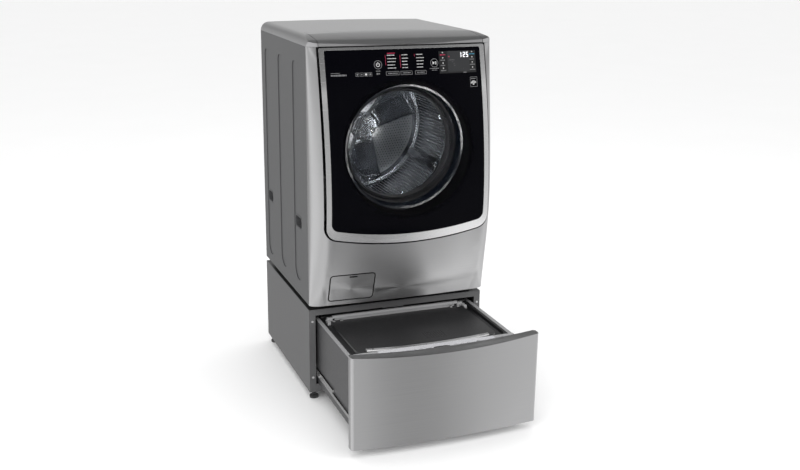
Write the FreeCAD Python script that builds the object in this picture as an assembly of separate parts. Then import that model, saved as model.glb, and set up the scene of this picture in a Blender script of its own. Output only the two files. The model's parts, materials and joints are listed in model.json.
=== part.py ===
import FreeCAD, Part
import math
import os

# Front-loading washing machine standing on a pedestal with a pull-out mini washer drawer.
# Millimetres. X runs to the right seen from the front, the front faces -Y, +Z is up, the floor is Z = 0.
# Everything below is drawn with Y = 0 at the front edge of the cabinet's side panels. Each piece is
# moved by CENTRE_Y when it is written, so that the origin is the bottom centre of the whole box.

V = FreeCAD.Vector
X_AXIS = V(1, 0, 0)
Y_AXIS = V(0, 1, 0)
Z_AXIS = V(0, 0, 1)

# ---- driving dimensions ----
WIDTH = 700.0
HALF = WIDTH / 2
CABINET_DEPTH = 649.0
NOZZLE_LENGTH = 18.0
SHEET = 2.0
FOOT_HEIGHT = 31.0
PEDESTAL_TOP = 363.0
WASHER_BOTTOM = 384.0
SIDE_TOP = 1333.0
STRIP_WIDTH = 37.0
SHOULDER_TOP = 1366.0
CROWN_TOP = 1369.0

# front bulge: how far the front panel stands out at each height
PEAK_Z = 776.0
PEAK_DEPTH = 113.0
ABOVE_DROP, ABOVE_REACH = 204.0, 550.0
BELOW_DROP, BELOW_REACH = 140.0, 310.0
PANEL_BOW = 8.0
SIDE_STRAIGHT = 20.0
COLUMN_R = 141.0
CORNER_R = 28.0
PANEL_SHEET = 3.0

# door
DOOR_PROUD = 5.0
DOOR_HALF = 313.0
DOOR_TOP = 1330.0
DOOR_LOW = 629.0
DOOR_LOW_R = 1300.0
DOOR_CORNER = 48.0
GLASS_HALF = 295.0
GLASS_TOP = 1321.0
GLASS_LOW = 662.0
GLASS_LOW_R = 1290.0
GLASS_CORNER = 30.0
DOOR_GAP = 7.0
DOOR_BACK = -24.0
GLASS_T = 4.0
RING_R, BOWL_R = 228.0, 205.0
HINGE_X, HINGE_Y = -301.0, -106.0
HINGE_LOW, HINGE_HIGH = 705.0, 890.0
KNUCKLE = 40.0
BULKHEAD_Y = -14.0

# wash group, all on one horizontal axis
DRUM_Z = 970.0
TUB_FRONT, TUB_BACK, TUB_R = 45.0, 470.0, 288.0
DRUM_FRONT, DRUM_BACK, DRUM_R = 60.0, 448.0, 262.0
MOUTH_R = 215.0
SHAFT_R = 15.0
RUNNING_FIT = 0.05

# dispenser drawer under the top
DISP_HALF = 311.0
DISP_BACK = 149.0
DISP_LOW = 1334.0

# drain filter cover
COVER_X0, COVER_X1 = -286.0, -115.0
COVER_Z0, COVER_Z1 = 403.0, 511.0
COVER_R = 12.0
COVER_GAP = 2.3
COVER_AXIS_Y, COVER_AXIS_Z = -38.5, 415.0
COVER_BARREL_R = 2.3

# pedestal drawer, drawn pulled out
TRAVEL = 445.0
OPENING_HALF = 325.0
RAIL_LOW_TOP = 63.0
RAIL_HIGH_LOW = 340.0
BOX_HALF = 317.0
BOX_FRONT, BOX_BACK = -455.0, 140.0
BOX_LOW, RIM_LOW, RIM_TOP = 66.0, 300.0, 316.0
FRONT_ENDS_Y = -493.0
FRONT_BOW = 20.0
FRONT_HALF = 348.0
FRONT_LOW, FRONT_HIGH = 30.0, 368.0
FRONT_DIP = 17.0
MINI_Y = -170.0
MINI_TUB_R, MINI_DRUM_R = 170.0, 156.0
LID_HALF, LID_BACK, LID_FRONT = 270.0, -6.0, -324.0
LID_BOW = 17.0
LID_LOW, LID_TOP = 304.0, 312.0
LID_AXIS_Y, LID_AXIS_Z = -2.0, 308.0

FRONT_MOST = FRONT_ENDS_Y - FRONT_BOW
BACK_MOST = CABINET_DEPTH + NOZZLE_LENGTH
CENTRE_Y = (FRONT_MOST + BACK_MOST) / 2

os.makedirs("parts", exist_ok=True)


# ---- small builders ----
def save(name, shape):
    """Write one piece, moved so that the whole object's box is centred on the origin."""
    placed = shape.copy()
    placed.translate(V(0, -CENTRE_Y, 0))
    placed.exportStep(os.path.join("parts", name + ".step"))
    sound = placed.isValid() and all(solid.isClosed() for solid in placed.Solids)
    print("%-26s solids %2d  valid %s  volume %.0f" % (name, len(placed.Solids), sound, placed.Volume))


def box(x0, x1, y0, y1, z0, z1):
    return Part.makeBox(x1 - x0, y1 - y0, z1 - z0, V(x0, y0, z0))


def rod(radius, start, axis, length):
    return Part.makeCylinder(radius, length, start, axis)


def pipe(outer, inner, start, axis, length):
    return rod(outer, start, axis, length).cut(rod(inner, start, axis, length))


def both_sides(shape):
    """The piece and its mirror image across the object's middle plane."""
    return Part.makeCompound([shape, shape.mirror(V(0, 0, 0), X_AXIS)])


def group(shapes):
    return Part.makeCompound(shapes)


def joined(shapes):
    return shapes[0].multiFuse(shapes[1:]).removeSplitter()


def extruded(edges, direction):
    return Part.Face(Part.Wire(edges)).extrude(direction)


def line(a, b):
    return Part.LineSegment(a, b).toShape()


def arc(a, middle, b):
    return Part.Arc(a, middle, b).toShape()


def smooth(points):
    curve = Part.BSplineCurve()
    curve.interpolate(points)
    return curve.toShape()


def polygon(points):
    return [line(points[i], points[(i + 1) % len(points)]) for i in range(len(points))]


def round_rect(u0, u1, v0, v1, radius, place):
    """Edges of a rectangle with round corners. place(u, v) gives the point in space."""
    edges = []
    corners = [(u1 - radius, v0 + radius, -90), (u1 - radius, v1 - radius, 0),
               (u0 + radius, v1 - radius, 90), (u0 + radius, v0 + radius, 180)]
    ends = []
    for u, v, start in corners:
        turn = [math.radians(start + part) for part in (0, 45, 90)]
        a, m, b = [place(u + radius * math.cos(t), v + radius * math.sin(t)) for t in turn]
        edges.append(arc(a, m, b))
        ends.append((a, b))
    sides = [line(ends[i][1], ends[(i + 1) % 4][0]) for i in range(4)]
    return [edge for pair in zip(edges, sides) for edge in pair]


def turned(profile, centre, axis):
    """Revolve a closed (radius, distance along axis) polygon about an axis of the object."""
    if axis == Y_AXIS:
        points = [V(centre.x + r, centre.y + d, centre.z) for r, d in profile]
    else:
        points = [V(centre.x + r, centre.y, centre.z + d) for r, d in profile]
    return Part.Face(Part.Wire(polygon(points))).revolve(centre, axis, 360)


def open_box(x0, x1, y0, y1, z0, z1, wall, floor):
    """Box without a top."""
    hollow = box(x0 + wall, x1 - wall, y0 + wall, y1 - wall, z0 + floor, z1 + 1)
    return box(x0, x1, y0, y1, z0, z1).cut(hollow)


# ---- the bulging front ----
def bulge(z):
    """Depth of the front panel ahead of the side panels at height z."""
    drop, reach = (ABOVE_DROP, ABOVE_REACH) if z > PEAK_Z else (BELOW_DROP, BELOW_REACH)
    return PEAK_DEPTH - drop * (math.hypot(1, (z - PEAK_Z) / reach) - 1)


def panel_plan(z, inset, back):
    """Closed plan of the front body at height z: flat sides, column arcs, corner arcs, gentle bow."""
    scale = bulge(z) / PEAK_DEPTH
    column_x = HALF - COLUMN_R
    inner = COLUMN_R - CORNER_R
    turn = math.asin((PEAK_DEPTH - SIDE_STRAIGHT - CORNER_R) / inner)
    corner_x = column_x + inner * math.cos(turn)
    corner_y = PEAK_DEPTH - CORNER_R
    half = [(HALF, 0.0), (HALF, SIDE_STRAIGHT)]
    for part in (0.35, 0.7, 1.0):
        angle = turn * part
        half.append((column_x + COLUMN_R * math.cos(angle), SIDE_STRAIGHT + COLUMN_R * math.sin(angle)))
    for degrees in (52, 72):
        angle = math.radians(degrees)
        half.append((corner_x + CORNER_R * math.cos(angle), corner_y + CORNER_R * math.sin(angle)))
    half = [(x, depth * scale) for x, depth in half]
    for x in (290.0, 200.0, 100.0):
        half.append((x, PEAK_DEPTH * scale + PANEL_BOW * (1 - (x / corner_x) ** 2)))
    middle = (0.0, PEAK_DEPTH * scale + PANEL_BOW)
    points = [(-x, d) for x, d in half] + [middle] + [(x, d) for x, d in reversed(half)]
    squeeze = (HALF - inset) / HALF
    curve = [V(x * squeeze, -d + inset, z) for x, d in points]
    left, right = V(-(HALF - inset), back, z), V(HALF - inset, back, z)
    return Part.Wire([line(left, curve[1]), smooth(curve[1:-1]), line(curve[-2], right), line(right, left)])


def front_body(inset, back, z0, z1, steps):
    levels = [z0 + (z1 - z0) * i / steps for i in range(steps + 1)]
    return Part.makeLoft([panel_plan(z, inset, back) for z in levels], True, False)


def door_surface_y(x, z):
    return -(bulge(z) + DOOR_PROUD) - PANEL_BOW * (1 - (x / DOOR_HALF) ** 2)


def door_body(inset, steps=12):
    """Solid between the door's outer surface, moved in by inset, and the door's back plane."""
    low, high = DOOR_LOW - 10, DOOR_TOP + 4
    side = DOOR_HALF + 2
    wires = []
    for i in range(steps + 1):
        z = low + (high - low) * i / steps
        front = [V(x, door_surface_y(x, z) + inset, z) for x in (-side, 0, side)]
        back = [V(side, DOOR_BACK, z), V(-side, DOOR_BACK, z)]
        wires.append(Part.Wire([arc(*front), line(front[2], back[0]),
                                line(back[0], back[1]), line(back[1], front[0])]))
    return Part.makeLoft(wires, True, False)


def smile_edges(half, top, low, low_radius, corner, y, top_corner=6.0):
    """Outline with straight sides and top, round lower corners and a lower edge bowed downwards."""
    arc_z = low + low_radius
    cx = half - corner
    cz = arc_z - math.sqrt((low_radius - corner) ** 2 - cx ** 2)
    reach = low_radius / (low_radius - corner)
    foot = V(cx * reach, y, arc_z + (cz - arc_z) * reach)
    flank = V(half, y, cz)
    toward = V(foot.x - cx + half - cx, 0, foot.z - cz)
    toward.normalize()
    knee = V(cx, y, cz) + toward * corner
    tilt = top_corner * (1 - math.sqrt(0.5))
    side_top = V(half, y, top - top_corner)
    top_end = V(half - top_corner, y, top)
    top_knee = V(half - tilt, y, top - tilt)

    def flip(p):
        return V(-p.x, p.y, p.z)

    return [arc(flip(foot), V(0, y, low), foot), arc(foot, knee, flank), line(flank, side_top),
            arc(side_top, top_knee, top_end), line(top_end, flip(top_end)),
            arc(flip(top_end), flip(top_knee), flip(side_top)),
            line(flip(side_top), flip(flank)), arc(flip(flank), flip(knee), flip(foot))]


def door_prism(grow, y0=-200.0, y1=60.0, top_extra=0.0):
    edges = smile_edges(DOOR_HALF + grow, DOOR_TOP + grow + top_extra, DOOR_LOW - grow,
                        DOOR_LOW_R + grow, DOOR_CORNER + grow, y0)
    return extruded(edges, V(0, y1 - y0, 0))


def glass_prism(grow):
    edges = smile_edges(GLASS_HALF + grow, GLASS_TOP + grow, GLASS_LOW - grow,
                        GLASS_LOW_R + grow, GLASS_CORNER + grow, -200.0)
    return extruded(edges, V(0, 260, 0))


def cover_prism(grow, y0, y1):
    edges = round_rect(COVER_X0 - grow, COVER_X1 + grow, COVER_Z0 - grow, COVER_Z1 + grow,
                       COVER_R + grow, lambda u, v: V(u, y0, v))
    return extruded(edges, V(0, y1 - y0, 0))


# ---- washer casing ----
def tray(face_edges, inner_edges, depth, wall, inward):
    """Pressed pocket: returns the block to remove from a sheet and the pocket to add."""
    block = extruded(face_edges, inward * (depth + wall))
    return block, block.cut(extruded(inner_edges, inward * depth))


def rib_edges(y0, y1, z0, z1, x, shrink):
    """Tall pressed rib: round shoulders at the top, half-round foot."""
    a, b = y0 + shrink, y1 - shrink
    low, high = z0 + shrink, z1 - shrink
    radius = (b - a) / 2
    shoulder = 26.0 - shrink
    tilt = shoulder * (1 - math.sqrt(0.5))
    mid = (a + b) / 2
    return [arc(V(x, a, low + radius), V(x, mid, low), V(x, b, low + radius)),
            line(V(x, b, low + radius), V(x, b, high - shoulder)),
            arc(V(x, b, high - shoulder), V(x, b - tilt, high - tilt), V(x, b - shoulder, high)),
            line(V(x, b - shoulder, high), V(x, a + shoulder, high)),
            arc(V(x, a + shoulder, high), V(x, a + tilt, high - tilt), V(x, a, high - shoulder)),
            line(V(x, a, high - shoulder), V(x, a, low + radius))]


RIBS = ((504.0, 595.0, 419.0), (290.0, 390.0, 430.0), (80.0, 183.0, 440.0))
RIB_TOP = 1270.0
RIB_DEPTH = 3.0
HOLDS = ((513.0, 589.0), (88.0, 174.0))
HOLD_LOW, HOLD_HIGH, HOLD_DEPTH = 649.0, 692.0, 22.0
HOLD_CORNER, LIP_WIDTH, LIP_HEIGHT = 18.0, 4.0, 1.4


def side_panel():
    """Right-hand side sheet, with three pressed ribs and two hand holds."""
    panel = box(HALF - SHEET, HALF, 0, CABINET_DEPTH - SHEET, WASHER_BOTTOM, SIDE_TOP)
    inward = V(-1, 0, 0)
    for y0, y1, low in RIBS:
        block, pocket = tray(rib_edges(y0, y1, low, RIB_TOP, HALF, 0),
                             rib_edges(y0, y1, low, RIB_TOP, HALF, SHEET), RIB_DEPTH, SHEET, inward)
        panel = panel.cut(block).fuse(pocket)
    for y0, y1 in HOLDS:
        floor_x = HALF - RIB_DEPTH

        def pocket_edges(grow):
            return round_rect(y0 - grow, y1 + grow, HOLD_LOW - grow, HOLD_HIGH + grow, HOLD_CORNER + grow,
                              lambda u, v: V(floor_x, u, v))

        block, pocket = tray(pocket_edges(0), pocket_edges(-SHEET), HOLD_DEPTH, SHEET, inward)
        lip = extruded(pocket_edges(LIP_WIDTH), V(LIP_HEIGHT, 0, 0))
        lip = lip.cut(extruded(pocket_edges(0), V(2 * LIP_HEIGHT, 0, 0)))
        panel = panel.cut(block).fuse(pocket).fuse(lip)
    return panel.removeSplitter()


right_side = side_panel()
save("washer_side_right", right_side)
save("washer_side_left", right_side.mirror(V(0, 0, 0), X_AXIS))

NOZZLES = ((-250.0, 1240.0), (-200.0, 1240.0))
NOZZLE_R, NOZZLE_BORE = 13.1, 8.0
DRAIN_X, DRAIN_Z, DRAIN_R = 270.0, 500.0, 15.0
GLAND_X, GLAND_Z, GLAND_R, GLAND_BORE = 290.0, 1200.0, 11.0, 4.5
SERVICE_HALF, SERVICE_LOW, SERVICE_HIGH, SERVICE_CORNER, SERVICE_SHEET = 200.0, 700.0, 1180.0, 60.0, 2.5

back = box(-HALF, HALF, CABINET_DEPTH - SHEET, CABINET_DEPTH, WASHER_BOTTOM, SIDE_TOP)
for x, z in NOZZLES:
    back = back.cut(rod(NOZZLE_R + 2, V(x, CABINET_DEPTH - 10, z), Y_AXIS, 20))
back = back.cut(rod(DRAIN_R + 2, V(DRAIN_X, CABINET_DEPTH - 10, DRAIN_Z), Y_AXIS, 20))
service = round_rect(-SERVICE_HALF, SERVICE_HALF, SERVICE_LOW, SERVICE_HIGH, SERVICE_CORNER,
                     lambda u, v: V(u, CABINET_DEPTH - 1, v))
gland = rod(GLAND_R, V(GLAND_X, CABINET_DEPTH - 8, GLAND_Z), Y_AXIS, 20)
back = joined([back, extruded(service, V(0, SERVICE_SHEET, 0)), gland])
save("washer_back_panel", back.cut(rod(GLAND_BORE, V(GLAND_X, CABINET_DEPTH - 10, GLAND_Z), Y_AXIS, 30)))

BASE_WALL_HEIGHT = 22.0
base = open_box(-HALF + SHEET + 0.5, HALF - SHEET - 0.5, PANEL_SHEET, CABINET_DEPTH - SHEET - 1,
                WASHER_BOTTOM, WASHER_BOTTOM + BASE_WALL_HEIGHT, SHEET, SHEET)
save("washer_base_pan", base)
FEET_X, FEET_FRONT, FEET_BACK, FEET_R = 300.0, 45.0, 600.0, 24.0
washer_feet = [rod(FEET_R, V(x, y, PEDESTAL_TOP), Z_AXIS, WASHER_BOTTOM - PEDESTAL_TOP)
               for x in (-FEET_X, FEET_X) for y in (FEET_FRONT, FEET_BACK)]
save("washer_feet", group(washer_feet))


# ---- top cover, fixed top plate and dispenser front share one crowned surface ----
def top_section(inset):
    """Cross-section of the top: quarter-round edges and a slight crown."""
    half, low = HALF - inset, SIDE_TOP - (5 if inset else 0)
    shoulder_x = HALF - STRIP_WIDTH
    shoulder_z, crown_z = SHOULDER_TOP - inset, CROWN_TOP - inset
    bend = math.sqrt(0.5)
    knee = V(shoulder_x + (half - shoulder_x) * bend, -200, SIDE_TOP + (shoulder_z - SIDE_TOP) * bend)
    edge = V(half, -200, SIDE_TOP)
    shoulder = V(shoulder_x, -200, shoulder_z)

    def flip(p):
        return V(-p.x, p.y, p.z)

    edges = [arc(edge, knee, shoulder), arc(shoulder, V(0, -200, crown_z), flip(shoulder)),
             arc(flip(shoulder), flip(knee), flip(edge))]
    if inset:
        corner = V(half, -200, low)
        edges += [line(flip(edge), flip(corner)), line(flip(corner), corner), line(corner, edge)]
    else:
        edges.append(line(flip(edge), edge))
    return extruded(edges, V(0, 900, 0))


TOP_FLAT_Y = 150.0
TOP_PROFILE = ((138.0, 1368.6), (74.0, 1363.5), (12.0, 1355.5), (-12.0, 1351.0), (-27.0, 1344.0),
               (-34.5, 1334.0), (-36.0, 1320.0))


def top_side_profile(inset):
    """Side view of the top: flat at the back, falling and turning down at the front."""
    far = HALF + 50
    back_y, high = CABINET_DEPTH - inset, CROWN_TOP + 1 - inset
    points = [V(-far, TOP_FLAT_Y + 40, high), V(-far, TOP_FLAT_Y, high - 0.4)]
    points += [V(-far, y + inset, z + 0.6 - inset) for y, z in TOP_PROFILE]
    front_low = points[-1]
    corner, back_low = V(-far, back_y, high - 12), V(-far, back_y, front_low.z)
    back_bend = V(-far, back_y - 3.5, high - 3.5)
    back_high = V(-far, back_y - 12, high)
    edges = [smooth(points), line(front_low, back_low), line(back_low, corner),
             arc(corner, back_bend, back_high), line(back_high, points[0])]
    return extruded(edges, V(2 * far, 0, 0))


def top_plan(inset):
    low, high = SIDE_TOP - 20, CROWN_TOP + 10
    plan = Part.Face(panel_plan(SIDE_TOP, inset, CABINET_DEPTH - inset))
    plan.translate(V(0, 0, low - SIDE_TOP))
    return plan.extrude(V(0, 0, high - low))


def top_envelope(inset):
    return top_section(inset).common(top_side_profile(inset)).common(top_plan(inset))


top_shell = top_envelope(0).cut(top_envelope(PANEL_SHEET))
strip_x = HALF - STRIP_WIDTH
save("top_cover", top_shell.cut(box(-strip_x, strip_x, -100, CABINET_DEPTH - 16, SIDE_TOP - 5, CROWN_TOP + 5)))
save("top_plate", top_shell.common(box(-strip_x + 0.5, strip_x - 0.5, DISP_BACK + 2, CABINET_DEPTH - 16.5,
                                       SIDE_TOP, CROWN_TOP + 5)))
dispenser_front = top_shell.common(box(-DISP_HALF, DISP_HALF, -100, DISP_BACK, DISP_LOW, CROWN_TOP + 5))
GRIP_R, GRIP_RISE = 40.0, 3.0
grip = rod(GRIP_R, V(0, -60, DISP_LOW + GRIP_RISE - GRIP_R), Y_AXIS, 40)
save("dispenser_front", dispenser_front.cut(grip))

TRAY_HALF, TRAY_FRONT, TRAY_BACK = 200.0, 154.0, 318.0
TRAY_LOW, TRAY_HIGH, TRAY_WALL = 1290.0, 1350.0, 2.5
TRAY_DIVIDERS = (-60.0, 70.0)
LINK_X, LINK_HALF, LINK_FRONT, LINK_LOW, LINK_HIGH = 190.0, 6.0, -16.0, 1338.0, 1346.0
DISP_TRAVEL = 160.0
dispenser_tray = open_box(-TRAY_HALF, TRAY_HALF, TRAY_FRONT, TRAY_BACK, TRAY_LOW, TRAY_HIGH, TRAY_WALL, TRAY_WALL)
dividers = [box(x, x + TRAY_WALL, TRAY_FRONT + 1, TRAY_BACK - 1, TRAY_LOW + 1, TRAY_HIGH - 4)
            for x in TRAY_DIVIDERS]
links = [box(x - LINK_HALF, x + LINK_HALF, LINK_FRONT, TRAY_FRONT + 1, LINK_LOW, LINK_HIGH)
         for x in (-LINK_X, LINK_X)]
save("dispenser_tray", joined([dispenser_tray] + dividers + links))
housing = open_box(-TRAY_HALF - 6, TRAY_HALF + 6, TRAY_FRONT - DISP_TRAVEL - 4, TRAY_BACK + 8,
                   TRAY_LOW - 8, DISP_LOW, TRAY_WALL, TRAY_WALL)
save("dispenser_housing", housing)

# ---- front frame, recess behind the door ----
opening = door_prism(DOOR_GAP, top_extra=40)
outer_front = front_body(0, 0.0, WASHER_BOTTOM, SIDE_TOP - 0.5, 10)
inner_front = front_body(PANEL_SHEET, 20.0, WASHER_BOTTOM - 40, SIDE_TOP + 40, 10)
bottom_return = outer_front.common(box(-HALF, HALF, -200, 1, WASHER_BOTTOM, WASHER_BOTTOM + PANEL_SHEET))
front_frame = outer_front.cut(inner_front).fuse(bottom_return).cut(opening)
front_frame = front_frame.cut(cover_prism(COVER_GAP, -200, 60))
save("front_frame", front_frame)

BULKHEAD_MARGIN, BULKHEAD_TOP, BULKHEAD_CORNER = 17.0, 1332.0, 60.0
recess_shell = door_prism(DOOR_GAP + SHEET, top_extra=-8).cut(door_prism(DOOR_GAP, top_extra=-4))
liner_front = front_body(PANEL_SHEET + 0.6, 20.0, WASHER_BOTTOM - 40, SIDE_TOP + 40, 10)
recess_walls = recess_shell.common(liner_front).common(box(-HALF, HALF, -200, BULKHEAD_Y, 0, BULKHEAD_TOP))
LOCK_SLOT_X0, LOCK_SLOT_X1, LOCK_SLOT_Z0, LOCK_SLOT_Z1 = 286.0, 318.0, 880.0, 925.0
bulkhead = extruded(smile_edges(DOOR_HALF + DOOR_GAP + BULKHEAD_MARGIN, BULKHEAD_TOP, DOOR_LOW - 30, DOOR_LOW_R,
                                BULKHEAD_CORNER, BULKHEAD_Y), V(0, SHEET, 0))
bulkhead = bulkhead.cut(rod(MOUTH_R + 6, V(0, -40, DRUM_Z), Y_AXIS, 60))
bulkhead = bulkhead.cut(box(LOCK_SLOT_X0, LOCK_SLOT_X1, -40, 20, LOCK_SLOT_Z0, LOCK_SLOT_Z1))
save("front_bulkhead", joined([bulkhead, recess_walls]))

# ---- door ----
hinge_notch = box(-DOOR_HALF - 5, HINGE_X + 9, HINGE_Y - 5, 0, HINGE_LOW - 4, HINGE_HIGH + 4)
hinge_notch = hinge_notch.fuse(box(-DOOR_HALF - 5, -280, -60, 0, HINGE_LOW - 4, HINGE_HIGH + 4))
door_solid = door_body(0)
door_hollow = door_body(PANEL_SHEET).fuse(box(-DOOR_HALF, DOOR_HALF, DOOR_BACK - 1, 0, DOOR_LOW, DOOR_TOP))
frame_ring = door_solid.common(door_prism(0)).cut(door_hollow.common(door_prism(-PANEL_SHEET)))
door_frame = frame_ring.cut(glass_prism(0)).cut(hinge_notch)
save("door_frame", door_frame)
glass_skin = door_solid.cut(door_body(GLASS_T)).common(glass_prism(-0.3))
save("door_glass", glass_skin)
back_plate = door_prism(-PANEL_SHEET - 0.3, DOOR_BACK - 3, DOOR_BACK)
back_plate = back_plate.cut(rod(BOWL_R + 12, V(0, -100, DRUM_Z), Y_AXIS, 200)).cut(hinge_notch)
save("door_back_panel", back_plate)
ring_profile = ((BOWL_R + 10.5, -27.5), (BOWL_R + 14, -27.5), (RING_R - 6, -57), (RING_R, -58.5), (RING_R, -64.5),
                (RING_R - 8, -63), (BOWL_R + 10.5, -31.5))
save("door_ring", turned(ring_profile, V(0, 0, DRUM_Z), Y_AXIS))
bowl_profile = ((0, 62), (84, 60), (126, 52), (154, 38), (170, 20), (180, -4), (188, -18), (BOWL_R, -26),
                (BOWL_R + 10, -26), (BOWL_R + 10, -31), (BOWL_R - 4, -31), (184, -24), (175, -8), (165, 16),
                (150, 33), (123, 47), (83, 55), (0, 57))
save("door_bowl", turned(bowl_profile, V(0, 0, DRUM_Z), Y_AXIS))

HOOK_Z, HOOK_TIP = 903.0, 6.0
hook_base = box(288, 308, DOOR_BACK + 0.1, DOOR_BACK + 4, HOOK_Z - 18, HOOK_Z + 18)
hook_stem = box(298, 304, DOOR_BACK + 3, HOOK_TIP, HOOK_Z - 8, HOOK_Z + 8)
hook_nose = box(291, 304, HOOK_TIP - 8, HOOK_TIP, HOOK_Z - 8, HOOK_Z + 8)
save("door_hook", joined([hook_base, hook_stem, hook_nose]))
LOCK_FRONT, LOCK_BACK = BULKHEAD_Y + SHEET, 42.0
lock_body = box(284, 330, LOCK_FRONT, LOCK_BACK, HOOK_Z - 31, HOOK_Z + 30)
lock_mouth = box(287, 316, LOCK_FRONT - 8, LOCK_BACK - 8, HOOK_Z - 18, HOOK_Z + 18)
save("door_lock", lock_body.cut(lock_mouth))

PIN_R, KNUCKLE_R = 3.0, 5.0


def hinge_rod(radius, z0, z1):
    return rod(radius, V(HINGE_X, HINGE_Y, z0), Z_AXIS, z1 - z0)


bracket = [box(HINGE_X - 12, HINGE_X + 18, BULKHEAD_Y - 3, BULKHEAD_Y, HINGE_LOW, HINGE_HIGH),
           hinge_rod(PIN_R, HINGE_LOW, HINGE_HIGH)]
for z in (HINGE_LOW, HINGE_HIGH - KNUCKLE):
    bracket.append(hinge_rod(KNUCKLE_R, z, z + KNUCKLE))
    bracket.append(box(HINGE_X - 1, HINGE_X + 5, HINGE_Y, BULKHEAD_Y, z, z + KNUCKLE))
save("door_hinge_bracket", joined(bracket))
leaf_z0, leaf_z1 = HINGE_LOW + KNUCKLE + 1, HINGE_HIGH - KNUCKLE - 1
leaf = joined([hinge_rod(KNUCKLE_R, leaf_z0, leaf_z1),
               box(HINGE_X, HINGE_X + 30, HINGE_Y - 2, HINGE_Y + 2, leaf_z0, leaf_z1),
               box(HINGE_X + 26, HINGE_X + 30, HINGE_Y, DOOR_BACK - 3.1, leaf_z0, leaf_z1)])
save("door_hinge_leaf", leaf.cut(hinge_rod(PIN_R + RUNNING_FIT, leaf_z0 - 5, leaf_z1 + 5)))

# ---- drain filter behind its small cover ----
cover_skin = outer_front.cut(inner_front).common(cover_prism(0, -200, 60))
COVER_BARREL_X0, COVER_BARREL_LENGTH = -215.0, 85.0
FINGER_SLOT_X, FINGER_SLOT_Z, FINGER_SLOT_HALF = -198.0, 501.0, 16.0
slot = round_rect(FINGER_SLOT_X - FINGER_SLOT_HALF, FINGER_SLOT_X + FINGER_SLOT_HALF,
                  FINGER_SLOT_Z - 3, FINGER_SLOT_Z + 3, 2.9, lambda u, v: V(u, -200, v))
hinge_barrel = rod(COVER_BARREL_R, V(COVER_BARREL_X0, COVER_AXIS_Y, COVER_AXIS_Z), X_AXIS, COVER_BARREL_LENGTH)
save("filter_cover", joined([cover_skin.cut(extruded(slot, V(0, 250, 0))), hinge_barrel]))
FILTER_X, FILTER_Z, FILTER_R = -200.0, 455.0, 30.0
FILTER_FRONT, FILTER_LENGTH, GRIP_LENGTH = -20.0, 70.0, 14.0
PUMP_FRONT, PUMP_BACK, PUMP_LOW, PUMP_HALF, PUMP_MOTOR_R = 5.0, 120.0, 411.0, 42.0, 28.0
filter_plug = rod(FILTER_R, V(FILTER_X, FILTER_FRONT, FILTER_Z), Y_AXIS, FILTER_LENGTH)
filter_grip = box(FILTER_X - 24, FILTER_X + 24, FILTER_FRONT - GRIP_LENGTH, FILTER_FRONT + 1,
                  FILTER_Z - 5, FILTER_Z + 5)
save("drain_filter", joined([filter_plug, filter_grip]))
pump_block = box(FILTER_X - PUMP_HALF, FILTER_X + PUMP_HALF, PUMP_FRONT, PUMP_BACK, PUMP_LOW, FILTER_Z + PUMP_HALF)
pump_block = pump_block.cut(rod(FILTER_R + 0.3, V(FILTER_X, -10, FILTER_Z), Y_AXIS, 62))
pump_motor = rod(PUMP_MOTOR_R, V(FILTER_X, PUMP_BACK, FILTER_Z), Y_AXIS, 60)
save("drain_pump", joined([pump_block, pump_motor]))

# ---- tub, drum, motor ----
WASH = V(0, 0, DRUM_Z)
TUB_WALL = 6.0
tub_profile = ((MOUTH_R + 10, TUB_FRONT), (TUB_R, TUB_FRONT), (TUB_R, TUB_BACK), (40, TUB_BACK),
               (40, TUB_BACK - TUB_WALL), (TUB_R - TUB_WALL, TUB_BACK - TUB_WALL),
               (TUB_R - TUB_WALL, TUB_FRONT + TUB_WALL), (MOUTH_R + 10, TUB_FRONT + TUB_WALL))
tub = turned(tub_profile, WASH, Y_AXIS)
BEARING_SEAT_R, BEARING_HOUSE_R = 32.0, 48.0
bearing_house = pipe(BEARING_HOUSE_R, BEARING_SEAT_R, V(0, TUB_BACK - TUB_WALL, DRUM_Z), Y_AXIS, 56)
save("outer_tub", joined([tub, bearing_house]))
HUB_FACE = DRUM_BACK - 72
drum_profile = ((MOUTH_R - 5, DRUM_FRONT), (DRUM_R - 14, DRUM_FRONT), (DRUM_R, DRUM_FRONT + 14), (DRUM_R, DRUM_BACK),
                (235, DRUM_BACK), (150, DRUM_BACK - 24), (58, DRUM_BACK - 50), (50, HUB_FACE), (0, HUB_FACE),
                (0, HUB_FACE - 2), (51, HUB_FACE - 2), (59.5, DRUM_BACK - 51.9), (150.5, DRUM_BACK - 26),
                (235.5, DRUM_BACK - 2),
                (DRUM_R - 2, DRUM_BACK - 2), (DRUM_R - 2, DRUM_FRONT + 15),
                (DRUM_R - 15, DRUM_FRONT + 2), (MOUTH_R - 5, DRUM_FRONT + 2))
save("drum", turned(drum_profile, WASH, Y_AXIS))


LIFTER_FRONT, LIFTER_LENGTH, LIFTER_HEIGHT, LIFTER_WALL = 90.0, 330.0, 60.0, 2.5
LIFTER_FOOT, LIFTER_CREST = 46.0, 14.0


def lifter(angle):
    """Hollow paddle on the drum wall, tapered towards its crest and open at both ends."""
    outer_r = DRUM_R - 2.6

    def prism(wall):
        foot, crest = LIFTER_FOOT / 2 - wall, LIFTER_CREST / 2 - wall
        sink = outer_r - math.sqrt(outer_r ** 2 - (LIFTER_FOOT / 2) ** 2)
        low, high = DRUM_Z - outer_r + sink + wall, DRUM_Z - outer_r + LIFTER_HEIGHT - wall
        outline = [V(-foot, LIFTER_FRONT, low), V(foot, LIFTER_FRONT, low),
                   V(crest, LIFTER_FRONT, high), V(-crest, LIFTER_FRONT, high)]
        return extruded(polygon(outline), V(0, LIFTER_LENGTH, 0))

    paddle = prism(0).cut(prism(LIFTER_WALL))
    paddle.rotate(WASH, Y_AXIS, angle)
    return paddle


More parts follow.
